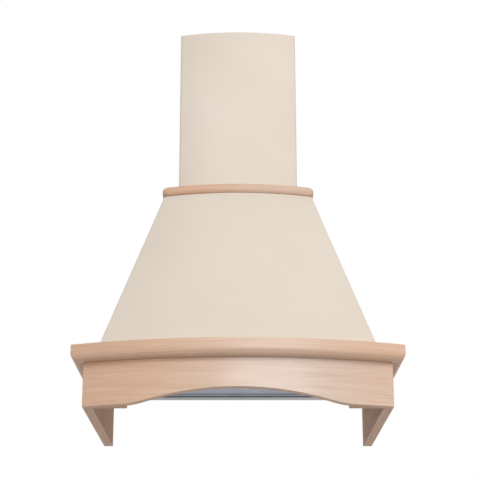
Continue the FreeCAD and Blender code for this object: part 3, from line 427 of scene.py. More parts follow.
def brushed(name, colour, shade, direction, roughness=0.3, metallic=1.0):
    """Metal with fine parallel scratches; direction holds the noise's scale along X, Y and Z."""
    material, tree, shader = new_material(name, Metallic=metallic)
    point = object_point(tree)
    lines = noise(tree, stretched(tree, point, direction), detail=3.0, rough=0.6)
    drift = noise(tree, stretched(tree, point, even(9.0)), detail=2.0)
    tone = mixed(tree, ramp(tree, lines, 0.3, 0.7), colour, shade)
    feed(
        tree,
        shader,
        Base_Color=tone,
        Roughness=ramp(tree, drift, 0.3, 0.7, roughness, roughness + 0.1),
        Normal=bump(tree, lines, 0.02 * MM, 0.25),
    )
    return material


def moulded(name, colour, shade, roughness, texture=900.0):
    """Injection-moulded plastic with a spark-eroded skin."""
    material, tree, shader = new_material(name, Specular_IOR_Level=0.42)
    point = object_point(tree)
    skin = noise(tree, stretched(tree, point, even(texture)), detail=2.0)
    drift = noise(tree, stretched(tree, point, even(18.0)), detail=2.0)
    feed(
        tree,
        shader,
        Base_Color=mixed(tree, ramp(tree, drift, 0.3, 0.7), colour, shade),
        Roughness=ramp(tree, skin, 0.3, 0.7, roughness, roughness + 0.12),
        Normal=bump(tree, skin, 0.05 * MM, 0.3),
    )
    return material


def frosted_glass(name):
    """Pressed glass with an etched skin."""
    material, tree, shader = new_material(name, IOR=1.5, Transmission_Weight=0.85)
    point = object_point(tree)
    grit = noise(tree, stretched(tree, point, even(1600.0)), detail=2.0)
    tone = mixed(tree, ramp(tree, grit, 0.3, 0.7), srgb(246, 246, 243), srgb(236, 238, 238))
    feed(
        tree,
        shader,
        Base_Color=tone,
        Roughness=ramp(tree, grit, 0.3, 0.7, 0.34, 0.5),
        Normal=bump(tree, grit, 0.03 * MM, 0.3),
    )
    return material


# the pale stretches on the rail, moulding and collar are painted sheen
wood_rail = beech(
    "beech_rail", 3.0, frame_plan, pale=(0.095, 0.17, 0.85), heart=(0.96, 0.93, 0.9)
)
wood_edge = beech("beech_edge", 3.0, frame_plan, 0.6, 0.5, 0.0)
wood_panel_edge = beech("beech_panel_edge", 21.0, None, 0.6, 0.5, 0.0, heart=(1.0, 0.97, 1.0))
wood_moulding = beech(
    "beech_moulding", 8.0, frame_plan, fair=0.4, pale=(0.06, 0.14, 0.4), heart=(0.94, 0.89, 0.85)
)
wood_collar = beech(
    "beech_collar",
    14.0,
    collar_plan,
    0.55,
    0.3,
    0.0,
    pale=(0.1, 0.12, 0.6),
    heart=(0.96, 0.91, 0.87),
)
wood_panel_left = beech("beech_panel_left", 21.0, None, 0.75, 0.3, 0.0, heart=(1.0, 0.94, 0.94))
wood_panel_right = beech("beech_panel_right", 27.0, None, 0.75, 0.25, 0.0, heart=(0.9, 0.88, 0.92))
wood_block = beech("beech_block", 45.0, frame_plan, 0.75, 0.2, 0.0)
wood_trim_left = beech("beech_trim_left", 33.0, None, 0.6, 0.3, 0.15)
wood_trim_right = beech("beech_trim_right", 38.0, None, 0.6, 0.3, 0.15)
cream = painted("cream_paint", srgb(220, 208, 194), srgb(217, 204, 189), 0.42)
zinc = galvanised("galvanised_steel")
pan_grey = painted("pan_paint", srgb(176, 178, 182), srgb(170, 173, 178), 0.34, peel=0.08)

# Scratch lines per metre along X, Y and Z.
lines_along_x = (30.0, 1500.0, 1500.0)
lines_along_y = (1200.0, 40.0, 1200.0)
lines_turned = (1600.0, 160.0, 160.0)
lines_of_strands = even(700.0)
lines_of_plating = even(900.0)

alloy = brushed("filter_aluminium", srgb(208, 212, 218), srgb(190, 195, 202), lines_along_x, 0.3)
alloy_mesh = brushed(
    "filter_mesh", srgb(218, 224, 235), srgb(204, 210, 223), lines_of_strands, 0.4, 0.6
)
sheet_alloy = brushed(
    "sheet_aluminium", srgb(205, 206, 208), srgb(186, 188, 192), lines_along_y, 0.35
)
turned_steel = brushed(
    "motor_steel", srgb(168, 170, 173), srgb(142, 145, 150), lines_turned, 0.32
)
zinc_plate = brushed(
    "screw_steel", srgb(196, 194, 186), srgb(168, 168, 164), lines_of_plating, 0.3
)
satin_chrome = brushed(
    "lamp_trim", srgb(206, 207, 209), srgb(190, 192, 195), lines_of_plating, 0.22
)
dark_plastic = moulded("fascia_plastic", srgb(52, 54, 57), srgb(44, 46, 49), 0.42)
fan_black = moulded("fan_plastic", srgb(62, 64, 67), srgb(50, 52, 55), 0.48, texture=600.0)
latch_black = moulded("latch_plastic", srgb(42, 43, 45), srgb(34, 35, 37), 0.4)
button_white = moulded("button_plastic", srgb(226, 224, 218), srgb(218, 215, 208), 0.36)
lamp_white = moulded("lamp_body", srgb(232, 230, 224), srgb(222, 220, 212), 0.5)
lens_glass = frosted_glass("lamp_glass")


# ---------------------------------------------------------------- mesh tools
def link(name, mesh, material, body, slot, nodes, bevel=0.0, segments=3, angle=32.0, weighted=True):
    """Makes a mesh's object: material, rounded edges, body and the nodes it stands for; slot is not
    used.
    """
    piece = bpy.data.objects.new(name, mesh)
    bpy.context.scene.collection.objects.link(piece)
    mesh.materials.append(material)
    if bevel:
        modifier = piece.modifiers.new("edges", "BEVEL")
        modifier.width = bevel
        modifier.segments = segments
        modifier.limit_method = "ANGLE"
        modifier.angle_limit = math.radians(angle)
        modifier.use_clamp_overlap = True
    if weighted:
        normals = piece.modifiers.new("normals", "WEIGHTED_NORMAL")
        normals.keep_sharp = True
    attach(piece, body)
    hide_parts(*nodes)


def to_mesh(name, bm, smooth=True, sharp=None):
    """Closes a bmesh into a mesh with its faces turned outward; sharp is an angle in degrees."""
    bmesh.ops.recalc_face_normals(bm, faces=bm.faces)
    for face in bm.faces:
        face.smooth = smooth
    if sharp is not None:
        for edge in bm.edges:
            if len(edge.link_faces) == 2 and edge.calc_face_angle() > math.radians(sharp):
                edge.smooth = False
    mesh = bpy.data.meshes.new(name)
    bm.to_mesh(mesh)
    bm.free()
    return mesh


def add_sweep(bm, sections, closed=False):
    """Joins equal sections into one skin, with flat ends unless it closes on itself."""
    rows = [[bm.verts.new(point) for point in section] for section in sections]
    count = len(rows[0])
    pairs = list(zip(rows, rows[1:]))
    if closed:
        pairs.append((rows[-1], rows[0]))
    for near, far in pairs:
        for index in range(count):
            after = (index + 1) % count
            bm.faces.new((near[index], near[after], far[after], far[index]))
    if not closed:
        bm.faces.new(rows[0][::-1])
        bm.faces.new(rows[-1])


def swept(name, sections, sharp=None):
    bm = bmesh.new()
    add_sweep(bm, sections)
    return to_mesh(name, bm, sharp=sharp)


def spread(low, high, count):
    """Evenly spaced values from low to high."""
    return [low + (high - low) * index / count for index in range(count + 1)]


def arc_points(centre, radius, start, end, count):
    """Points on a circle, angles in degrees."""
    x, y = centre
    turns = [math.radians(angle) for angle in spread(start, end, count)]
    return [Vector((x + radius * math.cos(t), y + radius * math.sin(t))) for t in turns]


# ---------------------------------------------------------------- wooden frame
def arch_height(x):
    """The ogee arch's height over the rail's lower edge."""
    both = (arch_half_span**2 + arch_rise**2) / (2 * arch_rise)
    crown_radius = both - arch_foot_radius
    join = arch_half_span * crown_radius / both
    x = abs(x)
    if x >= arch_half_span:
        return 0.0
    if x <= join:
        return arch_rise - crown_radius + math.sqrt(crown_radius**2 - x**2)
    return arch_foot_radius - math.sqrt(arch_foot_radius**2 - (arch_half_span - x) ** 2)


def finish_underside(mesh, material):
    """Gives the faces that look down a second material."""
    steep = -0.7
    mesh.materials.append(material)
    for face in mesh.polygons:
        if face.normal.z < steep:
            face.material_index = 1


def front_rail():
    """The bowed board with the ogee arch in its lower edge."""
    end_steps = 14
    arch_steps = 96
    rise_steps = 4
    stations = spread(-frame_half, -arch_half_span, end_steps)
    stations += spread(-arch_half_span, arch_half_span, arch_steps)[1:]
    stations += spread(arch_half_span, frame_half, end_steps)[1:]
    sections = []
    for x in stations:
        outer = frame_plan.front_y(x)
        inner = rail_back.front_y(x)
        low = frame_bottom + arch_height(x)
        rows = spread(low, frame_top, rise_steps)
        section = [(x, outer, z) for z in rows] + [(x, inner, z) for z in reversed(rows)]
        sections.append(section)
    mesh = swept("front_rail", sections)
    link("rail_front", mesh, wood_rail, "hood", "beech", ["front_rail"], bevel=rail_round)
    finish_underside(mesh, wood_edge)


def side_panel(side, material):
    """The straight board from the rail's back to the wall; side is -1 or 1."""
    name = "left" if side < 0 else "right"
    depth_steps = 8
    inner = rail_back.half
    outer = frame_half
    corners = (
        (inner, frame_bottom),
        (outer, frame_bottom),
        (outer, frame_top),
        (inner, frame_top),
    )
    sections = []
    for share in spread(0.0, 1.0, depth_steps):
        section = []
        for x, z in corners:
            front = rail_back.front_y(x)
            section.append((side * x, front + (wall_y - front) * share, z))
        sections.append(section)
    mesh = swept("side_panel_" + name, sections)
    nodes = ["side_panel_" + name]
    link("panel_" + name, mesh, material, "hood", "beech", nodes, bevel=board_round)
    finish_underside(mesh, wood_panel_edge)


def corner_block(side, material):
    """The block glued behind the rail's end; its back is flat and its front follows the rail."""
    name = "left" if side < 0 else "right"
    width_steps = 10
    low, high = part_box("corner_block_right")
    sections = []
    for x in spread(low.x, high.x, width_steps):
        front = rail_back.front_y(x)
        corners = ((front, low.z), (front, high.z), (high.y, high.z), (high.y, low.z))
        sections.append([(side * x, y, z) for y, z in corners])
    mesh = swept("corner_block_" + name, sections)
    nodes = ["corner_block_" + name]
    link("block_" + name, mesh, material, "hood", "beech", nodes, bevel=board_round)


def moulding_profile():
    """The crown moulding's section as projection and height, from its heel round to its top."""
    round_steps = 12
    centre = (moulding_projection - moulding_round, moulding_bottom + moulding_round)
    points = [Vector((0.0, moulding_bottom))]
    points += arc_points(centre, moulding_round, 270.0, 360.0, round_steps)
    points.append(Vector((moulding_projection, frame_top)))
    points.append(Vector((0.0, frame_top)))
    return points


def crown_moulding():
    """The front piece along the bow and a straight return on each side, mitred at the corners."""
    bow_steps = 72
    return_steps = 12
    edges = {"bevel": moulding_edge, "angle": moulding_angle}
    profile = moulding_profile()
    front = []
    for share in spread(-1.0, 1.0, bow_steps):
        section = []
        for point in profile:
            plan = frame_plan.grown(point.x)
            x = plan.half * share
            section.append((x, plan.front_y(x), point.y))
        front.append(section)
    mesh = swept("moulding_front", front, sharp=moulding_angle)
    nodes = ["crown_moulding_front"]
    link("moulding_front", mesh, wood_moulding, "hood", "beech", nodes, **edges)
    for side, name, material in ((-1, "left", wood_trim_left), (1, "right", wood_trim_right)):
        sections = []
        for share in spread(0.0, 1.0, return_steps):
            section = []
            for point in profile:
                plan = frame_plan.grown(point.x)
                section.append((side * plan.half, plan.corner_y() * (1 - share), point.y))
            sections.append(section)
        mesh = swept("moulding_" + name, sections, sharp=moulding_angle)
        nodes = ["crown_moulding_" + name]
        link("moulding_" + name, mesh, material, "hood", "beech", nodes, **edges)


# ---------------------------------------------------------------- collar
def collar_profile():
    """The collar's section as inset from its outer face and height: a half-round nose."""
    nose_steps = 8
    z0 = canopy_top
    z1 = canopy_top + collar_height
    back = collar_projection - collar_gap
    points = [Vector((back, z0))]
    points += [Vector((back * share, z0)) for share in (0.75, 0.5)]
    points += arc_points((collar_nose, z0 + collar_nose), collar_nose, 270.0, 180.0, nose_steps)
    points += arc_points((collar_nose, z1 - collar_nose), collar_nose, 180.0, 90.0, nose_steps)
    points += [Vector((back * share, z1)) for share in (0.5, 0.75)]
    points.append(Vector((back, z1)))
    return points


def collar():
    """Three pieces, mitred through the corners of the plan."""
    corner_steps = 12
    side_steps = 10
    front_steps = 32
    back = collar_projection - collar_gap
    paths = []
    for point in collar_profile():
        share = point.x / back
        corner_round = collar_corner + (sheet_corner - collar_corner) * share
        plan = collar_plan.grown(-point.x)
        path = plan.path(corner_round, wall_y, side_steps, corner_steps, front_steps)
        paths.append([(p.x, p.y, point.y) for p in path])
    sections = [list(section) for section in zip(*paths)]
    mitre = side_steps + corner_steps // 2
    last = len(sections) - 1
    spans = (
        ("left", sections[: mitre + 1], wood_trim_left),
        ("front", sections[mitre : last - mitre + 1], wood_collar),
        ("right", sections[last - mitre :], wood_trim_right),
    )
    for name, span, material in spans:
        mesh = swept("collar_" + name, span, sharp=fold_angle)
        nodes = ["collar_" + name]
        edges = {"bevel": collar_edge, "angle": fold_angle}
        link("trim_collar_" + name, mesh, material, "hood", "beech", nodes, **edges)


# ---------------------------------------------------------------- canopy and duct cover
def inset_path(path, inset):
    """A plan path moved inward along its own normals; its ends stay at the wall."""
    moved = []
    for index, point in enumerate(path):
        before = path[max(index - 1, 0)]
        after = path[min(index + 1, len(path) - 1)]
        along = (after - before).normalized()
        moved.append(point + inset * Vector((-along.y, along.x)))
    return moved


def lofted(low_path, high_path, share, z):
    """The outline at height z, share of the way from the low path to the high one."""
    between = [a.lerp(b, share) for a, b in zip(low_path, high_path)]
    return [(p.x, p.y, z) for p in between]


def canopy():
    """The tapering painted body: its walls and the flanges folded in at its foot and top."""
    rise_steps = 16
    foot = canopy_foot_plan.path(sheet_corner)
    top = canopy_top_plan.path(sheet_corner)
    rows = []
    for share in spread(0.0, 1.0, rise_steps):
        z = canopy_bottom + (canopy_top - canopy_bottom) * share
        rows.append(lofted(foot, top, share, z))
    neck = chimney_plan.grown(-canopy_neck_inset).path(sheet_corner)
    rows.append([(p.x, p.y, canopy_top) for p in neck])
    rows.append([(p.x, p.y, canopy_top - sheet) for p in neck])
    inside_foot = canopy_foot_plan.grown(-sheet).path(sheet_corner)
    inside_top = canopy_top_plan.grown(-sheet).path(sheet_corner)
    for share in spread(1.0, 0.0, rise_steps):
        z = canopy_bottom + sheet + (canopy_top - canopy_bottom - 2 * sheet) * share
        place = (z - canopy_bottom) / (canopy_top - canopy_bottom)
        rows.append(lofted(inside_foot, inside_top, place, z))
    lip = canopy_foot_plan.grown(-canopy_foot_flange).path(sheet_corner)
    rows.append([(p.x, p.y, canopy_bottom + sheet) for p in lip])
    rows.append([(p.x, p.y, canopy_bottom) for p in lip])
    mesh = swept("canopy", [list(section) for section in zip(*rows)], sharp=bend_angle)
    edges = {"bevel": sheet_edge, "segments": 2, "angle": fold_angle}
    link("canopy", mesh, cream, "hood", "cream_paint", ["canopy_shell"], **edges)


def folded_path(plan, back):
    """A cover's outline with the flange that turns in along the wall at both ends."""
    fold_steps = 4
    path = plan.path(sheet_corner, back - fold_round)
    centre = (plan.half - fold_round, back - fold_round)
    right = arc_points(centre, fold_round, 0.0, 90.0, fold_steps)[1:]
    right.append(Vector((plan.half - chimney_return, back)))
    left = [Vector((-p.x, p.y)) for p in reversed(right)]
    return left + path + right


def add_wall(bm, path, gauge, z0, z1, rows=10):
    """A standing sheet along a plan path, gauge thick to the inside."""
    inner = inset_path(path, gauge)
    heights = spread(z0, z1, rows)
    sections = []
    for a, b in zip(path, inner):
        section = [(a.x, a.y, z) for z in heights] + [(b.x, b.y, z) for z in reversed(heights)]
        sections.append(section)
    add_sweep(bm, sections)


def chimney():
    """The duct cover: its standing sheet and the flange folded in at its foot."""
    bm = bmesh.new()
    add_wall(bm, folded_path(chimney_plan, wall_y), sheet, canopy_top, chimney_top)
    outer = chimney_plan.grown(-sheet).path(sheet_corner)
    inner = chimney_plan.grown(-chimney_foot).path(sheet_corner)
    low = canopy_top
    high = canopy_top + sheet
    sections = []
    for a, b in zip(outer, inner):
        sections.append([(a.x, a.y, low), (a.x, a.y, high), (b.x, b.y, high), (b.x, b.y, low)])
    add_sweep(bm, sections)
    mesh = to_mesh("chimney", bm, sharp=bend_angle)
    edges = {"bevel": sheet_edge, "segments": 2, "angle": fold_angle}
    link("duct_cover", mesh, cream, "hood", "cream_paint", ["chimney_lower"], **edges)


def sleeve():
    """The inner cover that slides up."""
    bm = bmesh.new()
    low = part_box("chimney_upper")[0].z
    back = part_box("chimney_upper")[1].y
    add_wall(bm, folded_path(sleeve_plan, back), sleeve_sheet, low, sleeve_top)
    mesh = to_mesh("sleeve", bm, sharp=bend_angle)
    body = "chimney_upper"
    edges = {"bevel": sleeve_edge, "segments": 2, "angle": fold_angle}
    link("duct_sleeve", mesh, cream, body, "cream_paint", [body], **edges)


# ---------------------------------------------------------------- grease filter
strand_depth = 0.4 * MM
strand_overlap = 0.02 * MM  # how far two strands run into each other at a bend
mesh_layers = (  # height in the pack, long and short pitch, strand width, which way it starts
    (0.1 * MM, 10 * MM, 5 * MM, 1.1 * MM, 0),
    (1.0 * MM, 8 * MM, 4 * MM, 1.1 * MM, 1),
    (1.9 * MM, 10 * MM, 5 * MM, 1.3 * MM, 1),
)


def add_expanded_layer(bm, low, high, lift, long, short, width, phase):
    """One layer of expanded metal: zigzag strands that meet their neighbours at every bend."""
    z0 = low.z + lift
    z1 = z0 + strand_depth
    steps = max(2, round((high.x - low.x) / (long / 2)))
    rows = max(2, round((high.y - low.y) / (short / 2)))
    pitch_x = (high.x - low.x) / steps
    pitch_y = (high.y - low.y) / rows
    swing = (pitch_y - width) / 2 + strand_overlap
    for row in range(rows):
        middle = low.y + pitch_y * (row + 0.5)
        sections = []
        for step in range(steps + 1):
            x = low.x + pitch_x * step
            y = middle + swing * (1 if (step + row + phase) % 2 else -1)
            a = y - width / 2
            b = y + width / 2
            sections.append([(x, a, z0), (x, b, z0), (x, b, z1), (x, a, z1)])
        add_sweep(bm, sections)


def filter_mesh():
    """Three layers of expanded aluminium in the space of the mesh pack."""
    low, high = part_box("filter_mesh")
    bm = bmesh.new()
    for layer in mesh_layers:
        add_expanded_layer(bm, low, high, *layer)
    mesh = to_mesh("grease_mesh", bm, smooth=False)
    body = "grease_filter"
    link("grease_mesh", mesh, alloy_mesh, body, "filter_mesh", ["filter_mesh"], weighted=False)


# ---------------------------------------------------------------- lamps
lens_hub = 1.5 * MM
lens_rim = 1.5 * MM
lens_edge = 0.2 * MM
lens_ridges = 9
ridge_foot = 0.9 * MM  # under the lens's inner face
ridge_crest = 0.15 * MM
lens_angle = 40.0  # degrees from which a ridge is crisp
lathe_steps = 48


def lathe(bm, profile, centre):
    """Turns a profile of (radius, height) round the upright line through centre."""
    x, y = centre
    sections = []
    for step in range(lathe_steps):
        turn = 2 * math.pi * step / lathe_steps
        sections.append([(x + r * math.cos(turn), y + r * math.sin(turn), z) for r, z in profile])
    add_sweep(bm, sections, closed=True)


def lamp_lens(side):
    """A pressed lens with concentric ridges on its inner face."""
    low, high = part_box("lamp_lens_" + side)
    centre = ((low.x + high.x) / 2, (low.y + high.y) / 2)
    radius = (high.x - low.x) / 2
    profile = [(lens_hub, low.z), (radius, low.z), (radius, high.z - lens_edge)]
    marks = spread(lens_hub, radius - lens_rim, lens_ridges * 2)
    for index, r in reversed(list(enumerate(marks))):
        profile.append((r, high.z - (ridge_foot if index % 2 else ridge_crest)))
    bm = bmesh.new()
    lathe(bm, profile, centre)
    mesh = to_mesh("lamp_lens_" + side, bm, sharp=lens_angle)
    nodes = ["lamp_lens_" + side]
    link("lens_" + side, mesh, lens_glass, "hood", "lamp_glass", nodes, weighted=False)


# ---------------------------------------------------------------- fasteners
# Shares of a screw's head radius, head height or shank radius.
slot_share = 0.13  # half the width of its cross recess
cross_share = 0.5  # half the length of its cross recess
cross_depth = 0.55
crown_fall = 0.06
crown_share = 0.80  # where the crown begins to round off
rim_share = 0.20
rim_fall = 0.5
thread_pitch = 0.7
thread_rise = 0.35  # shares of the pitch
thread_valley = 0.68
thread_root = 0.78
tip_share = 0.15
screw_steps = 24
screw_angle = 35.0  # degrees from which its edges are crisp
near_face = 0.1 * MM


def solids_of(node):
    """The corner lists of a node's separate solids."""
    bm = bmesh.new()
    bm.from_mesh(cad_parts[node].data)
    bmesh.ops.remove_doubles(bm, verts=bm.verts, dist=0.01 * MM)
    seen = set()
    solids = []
    for start in bm.verts:
        if start in seen:
            continue
        seen.add(start)
        stack = [start]
        solid = []
        while stack:
            vert = stack.pop()
            solid.append(vert.co.copy())
            for edge in vert.link_edges:
                other = edge.other_vert(vert)
                if other not in seen:
                    seen.add(other)
                    stack.append(other)
        solids.append(solid)
    bm.free()
    return solids


def screw_facts(points):
    """A screw's crown point, direction into the work, head and shank radius and length."""
    low = Vector([min(p[i] for p in points) for i in range(3)])
    high = Vector([max(p[i] for p in points) for i in range(3)])
    size = high - low
    axis = max(range(3), key=lambda i: size[i])
    middle = (low + high) / 2

    across = [i for i in range(3) if i != axis]

    def reach(level):
        near = [p for p in points if abs(p[axis] - level) < near_face]
        return max(math.dist([p[i] for i in across], [middle[i] for i in across]) for p in near)

    low_radius = reach(low[axis])
    high_radius = reach(high[axis])
    crown = middle.copy()
    into = Vector((0.0, 0.0, 0.0))
    into[axis] = 1.0 if low_radius > high_radius else -1.0
    crown[axis] = low[axis] if low_radius > high_radius else high[axis]
    return crown, into, max(low_radius, high_radius), min(low_radius, high_radius), size[axis]


def add_screw(bm, crown, into, head, shank, length, head_height):
    """A pan-head screw with a cross recess and a thread, built along +Z and turned into place."""
    half_slot = head * slot_share
    reach = head * cross_share
    drop = head_height * cross_depth
    turn = into.to_track_quat("Z", "Y").to_matrix().to_4x4()
    place = Matrix.Translation(crown) @ turn
    verts = {}

    def vert(x, y, z):
        key = (round(x, 7), round(y, 7), round(z, 7))
        if key not in verts:
            verts[key] = bm.verts.new(place @ Vector((x, y, z)))
        return verts[key]

    marks = (-reach, -half_slot, half_slot, reach)
    top = crown_fall * head_height
    for i in range(3):
        for j in range(3):
            xs = (marks[i], marks[i + 1], marks[i + 1], marks[i])
            ys = (marks[j], marks[j], marks[j + 1], marks[j + 1])
            sunk = i == 1 or j == 1
            z = drop if sunk else top
            bm.faces.new([vert(x, y, z) for x, y in zip(xs, ys)])
            if not sunk:
                continue
            for k, (di, dj) in enumerate(((0, -1), (1, 0), (0, 1), (-1, 0))):
                ni, nj = i + di, j + dj
                open_side = 0 <= ni <= 2 and 0 <= nj <= 2 and (ni == 1 or nj == 1)
                if open_side:
                    continue
                a = (xs[k], ys[k])
                b = (xs[(k + 1) % 4], ys[(k + 1) % 4])
                bm.faces.new([vert(*a, drop), vert(*b, drop), vert(*b, top), vert(*a, top)])
    edge = [(marks[i], marks[0]) for i in range(3)]
    edge += [(marks[3], marks[i]) for i in range(3)]
    edge += [(marks[3 - i], marks[3]) for i in range(3)]
    edge += [(marks[0], marks[3 - i]) for i in range(3)]
    start = math.atan2(marks[0], marks[0])

    def ring(radius, z):
        turns = [start + 2 * math.pi * k / screw_steps for k in range(screw_steps)]
        return [vert(radius * math.cos(t), radius * math.sin(t), z) for t in turns]

    rings = [ring(head * crown_share, crown_fall * head_height)]
    for share in (0.3, 0.6, 0.85, 1.0):
        angle = share * math.pi / 2
        radius = head * (crown_share + rim_share * math.sin(angle))
        rings.append(ring(radius, head_height * (crown_fall + rim_fall * (1 - math.cos(angle)))))
    rings.append(ring(head, head_height))
    rings.append(ring(shank, head_height))
    z = head_height
    pitch = shank * thread_pitch
    while z + pitch < length - shank:
        rings.append(ring(shank, z + pitch * thread_rise))
        rings.append(ring(shank * thread_root, z + pitch * thread_valley))
        rings.append(ring(shank, z + pitch))
        z += pitch
    rings.append(ring(shank * tip_share, length))
    first = rings[0]
    corners = len(edge)
    for k in range(corners):
        a = vert(*edge[k], top)
        b = vert(*edge[(k + 1) % corners], top)
        bm.faces.new((a, first[2 * k], first[2 * k + 1]))
        bm.faces.new((a, first[2 * k + 1], first[(2 * k + 2) % screw_steps], b))
    for near, far in zip(rings, rings[1:]):
        for k in range(screw_steps):
            after = (k + 1) % screw_steps
            bm.faces.new((near[k], near[after], far[after], far[k]))
    bm.faces.new(rings[-1])


def screws(node, head_height):
    """A real screw in the place of each plain pin of the node."""
    bm = bmesh.new()
    for points in solids_of(node):
        crown, into, head, shank, length = screw_facts(points)
        add_screw(bm, crown, into, head, shank, length, head_height)
    mesh = to_mesh(node, bm, sharp=screw_angle)
    link("set_of_" + node, mesh, zinc_plate, "hood", "screw_steel", [node], weighted=False)


# ---------------------------------------------------------------- CAD nodes that stay
def dress(material, *nodes):
    """Gives CAD nodes that are shown as they are their material."""
    for node in nodes:
        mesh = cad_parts[node].data
        mesh.materials.clear()
        mesh.materials.append(material)


def dress_all():
    dress(wood_rail, "frame_dowels")
    dress(zinc, "back_panel", "top_plate", "duct_spigot")
    dress(zinc, "chimney_bracket", "frame_brackets", "motor_bracket")
    dress(pan_grey, "base_pan")
    dress(alloy, "filter_frame")
    dress(latch_black, "filter_latch_left", "filter_latch_right")
    dress(button_white, *["button_" + name for name in ("off", "low", "medium", "high", "light")])
    dress(dark_plastic, "control_panel", "switch_block", "cable_gland")
    dress(satin_chrome, "lamp_bezel_left", "lamp_bezel_right")
    dress(lamp_white, "lamp_holder_left", "lamp_holder_right")
    dress(fan_black, "fan_housing_left", "fan_housing_right", "junction_box", "capacitor")
    dress(turned_steel, "motor_housing", "motor_bearings", "motor_stator")
    dress(turned_steel, "motor_rotor", "motor_shaft", "damper_axle")
    dress(sheet_alloy, "impeller_disc", "impeller_rings", "impeller_blades")
    dress(sheet_alloy, "damper_flap_front", "damper_flap_rear")


# ---------------------------------------------------------------- studio
floor_drop = 1.55  # a hood hangs 0.65 over a worktop that stands 0.9 high
floor_half = 7.0
floor_fade_start = 0.8
floor_fade_end = 2.4
floor_glow = 0.94
floor_tone = 0.66
object_middle_y = 0.25  # before the wall
sky_low = 0.24
sky_high = 0.58
sky_span = (-0.6, 0.9)  # the slopes between which it brightens
camera_lens = 100.8
camera_place = (0.0, -2.7898, -0.8838)
camera_lift = 18.084  # degrees up from level
camera_shift = 2 / 480  # two of the photograph's 480 pixels
softboxes = (  # name, place, size, watts
    ("front", (0.42, -2.9, 0.0), (1.2, 0.5), 15.0),
    ("key", (0.3, -3.0, 1.2), (3.6, 1.2), 40.0),
    ("side", (2.4, -1.8, 0.5), (1.2, 1.2), 8.0),
)
lamp_aim = Vector((0.0, -0.25, 0.0))


def white_to_eye(tree, shader_socket, factor):
    """Mixes a shader with plain white, which only the camera and reflections see."""
    white = add(tree, "Emission", {"Color": (1.0, 1.0, 1.0, 1.0), "Strength": 1.0})
    return add(tree, "MixShader", {0: factor, 1: shader_socket, 2: white.outputs[0]}).outputs[0]


def seen_rays(tree):
    """1 for the camera's rays and for those that glossy and clear surfaces send on."""
    path = add(tree, "LightPath")
    rays = calc(tree, "MAXIMUM", path.outputs["Is Camera Ray"], path.outputs["Is Glossy Ray"])
    return calc(tree, "MAXIMUM", rays, path.outputs["Is Transmission Ray"])


def studio_floor():
    """The pale room floor: it keeps the hood's shadow, fades into white and is clear from below."""
    bm = bmesh.new()
    z = frame_bottom - floor_drop
    signs = ((-1, -1), (1, -1), (1, 1), (-1, 1))
    bm.faces.new([bm.verts.new((floor_half * a, floor_half * b, z)) for a, b in signs])
    mesh = bpy.data.meshes.new("floor")
    bm.to_mesh(mesh)
    bm.free()
    floor = bpy.data.objects.new("floor", mesh)
    bpy.context.scene.collection.objects.link(floor)
    material = bpy.data.materials.new("floor")
    material.use_nodes = True
    tree = material.node_tree
    tree.nodes.clear()
    tone = calc(tree, "MAXIMUM", calc(tree, "MULTIPLY", seen_rays(tree), floor_glow), floor_tone)
    grey = add(tree, "CombineXYZ", {0: tone, 1: tone, 2: tone}).outputs[0]
    matt = add(tree, "BsdfDiffuse", {"Color": grey})
    under = {0: object_point(tree), 1: (0.0, object_middle_y, -z)}
    centred = add(tree, "VectorMath", under, operation="ADD").outputs[0]
    away = add(tree, "VectorMath", {0: centred}, operation="LENGTH").outputs["Value"]
    fade = ramp(tree, away, floor_fade_start, floor_fade_end)
    shader = white_to_eye(tree, matt.outputs[0], calc(tree, "MULTIPLY", fade, seen_rays(tree)))
    below = add(tree, "NewGeometry").outputs["Backfacing"]
    clear = add(tree, "BsdfTransparent").outputs[0]
    one_sided = add(tree, "MixShader", {0: below, 1: shader, 2: clear}).outputs[0]
    output = add(tree, "OutputMaterial")
    tree.links.new(one_sided, output.inputs["Surface"])
    mesh.materials.append(material)


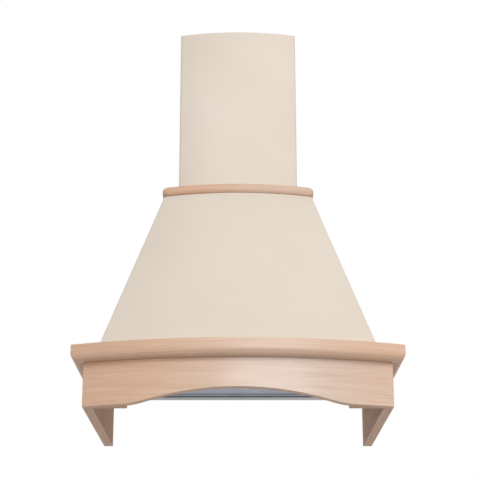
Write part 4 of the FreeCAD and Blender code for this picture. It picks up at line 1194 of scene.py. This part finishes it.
def studio_world():
    """White to the eye; to the object a soft sky, brighter from above."""
    world = bpy.data.worlds.new("studio")
    bpy.context.scene.world = world
    world.use_nodes = True
    tree = world.node_tree
    tree.nodes.clear()
    direction = add(tree, "SeparateXYZ", {0: add(tree, "TexCoord").outputs["Generated"]})
    sky = ramp(tree, direction.outputs["Z"], *sky_span, sky_low, sky_high)
    strength = calc(tree, "MAXIMUM", sky, seen_rays(tree))
    background = add(tree, "Background", {"Color": (1.0, 1.0, 1.0, 1.0), "Strength": strength})
    output = add(tree, "OutputWorld")
    tree.links.new(background.outputs[0], output.inputs["Surface"])


def softbox(name, place, size, power):
    """A rectangular lamp turned towards the hood."""
    light = bpy.data.lights.new(name, "AREA")
    light.shape = "RECTANGLE"
    light.size = size[0]
    light.size_y = size[1]
    light.energy = power
    lamp = bpy.data.objects.new(name, light)
    lamp.location = place
    lamp.rotation_mode = "QUATERNION"
    lamp.rotation_quaternion = (lamp_aim - Vector(place)).to_track_quat("-Z", "Y")
    lamp.visible_camera = False
    bpy.context.scene.collection.objects.link(lamp)


def studio_camera():
    """The photograph's view: from below, on the hood's middle line."""
    data = bpy.data.cameras.new("camera")
    data.sensor_width = 36.0
    data.lens = camera_lens
    data.shift_x = camera_shift
    data.clip_end = 60.0
    camera = bpy.data.objects.new("camera", data)
    camera.location = camera_place
    camera.rotation_euler = (math.radians(90.0 + camera_lift), 0.0, 0.0)
    bpy.context.scene.collection.objects.link(camera)
    bpy.context.scene.camera = camera


def studio():
    studio_floor()
    studio_world()
    for lamp in softboxes:
        softbox(*lamp)
    studio_camera()
    bpy.context.scene.view_settings.view_transform = "Standard"


front_rail()
side_panel(-1, wood_panel_left)
side_panel(1, wood_panel_right)
corner_block(-1, wood_block)
corner_block(1, wood_block)
crown_moulding()
collar()
canopy()
chimney()
sleeve()
filter_mesh()
lamp_lens("left")
lamp_lens("right")
for kind, head_height in (("sheet", 1.8 * MM), ("wood", 1.6 * MM), ("machine", 2.2 * MM)):
    screws(kind + "_screws", head_height)
dress_all()
studio()
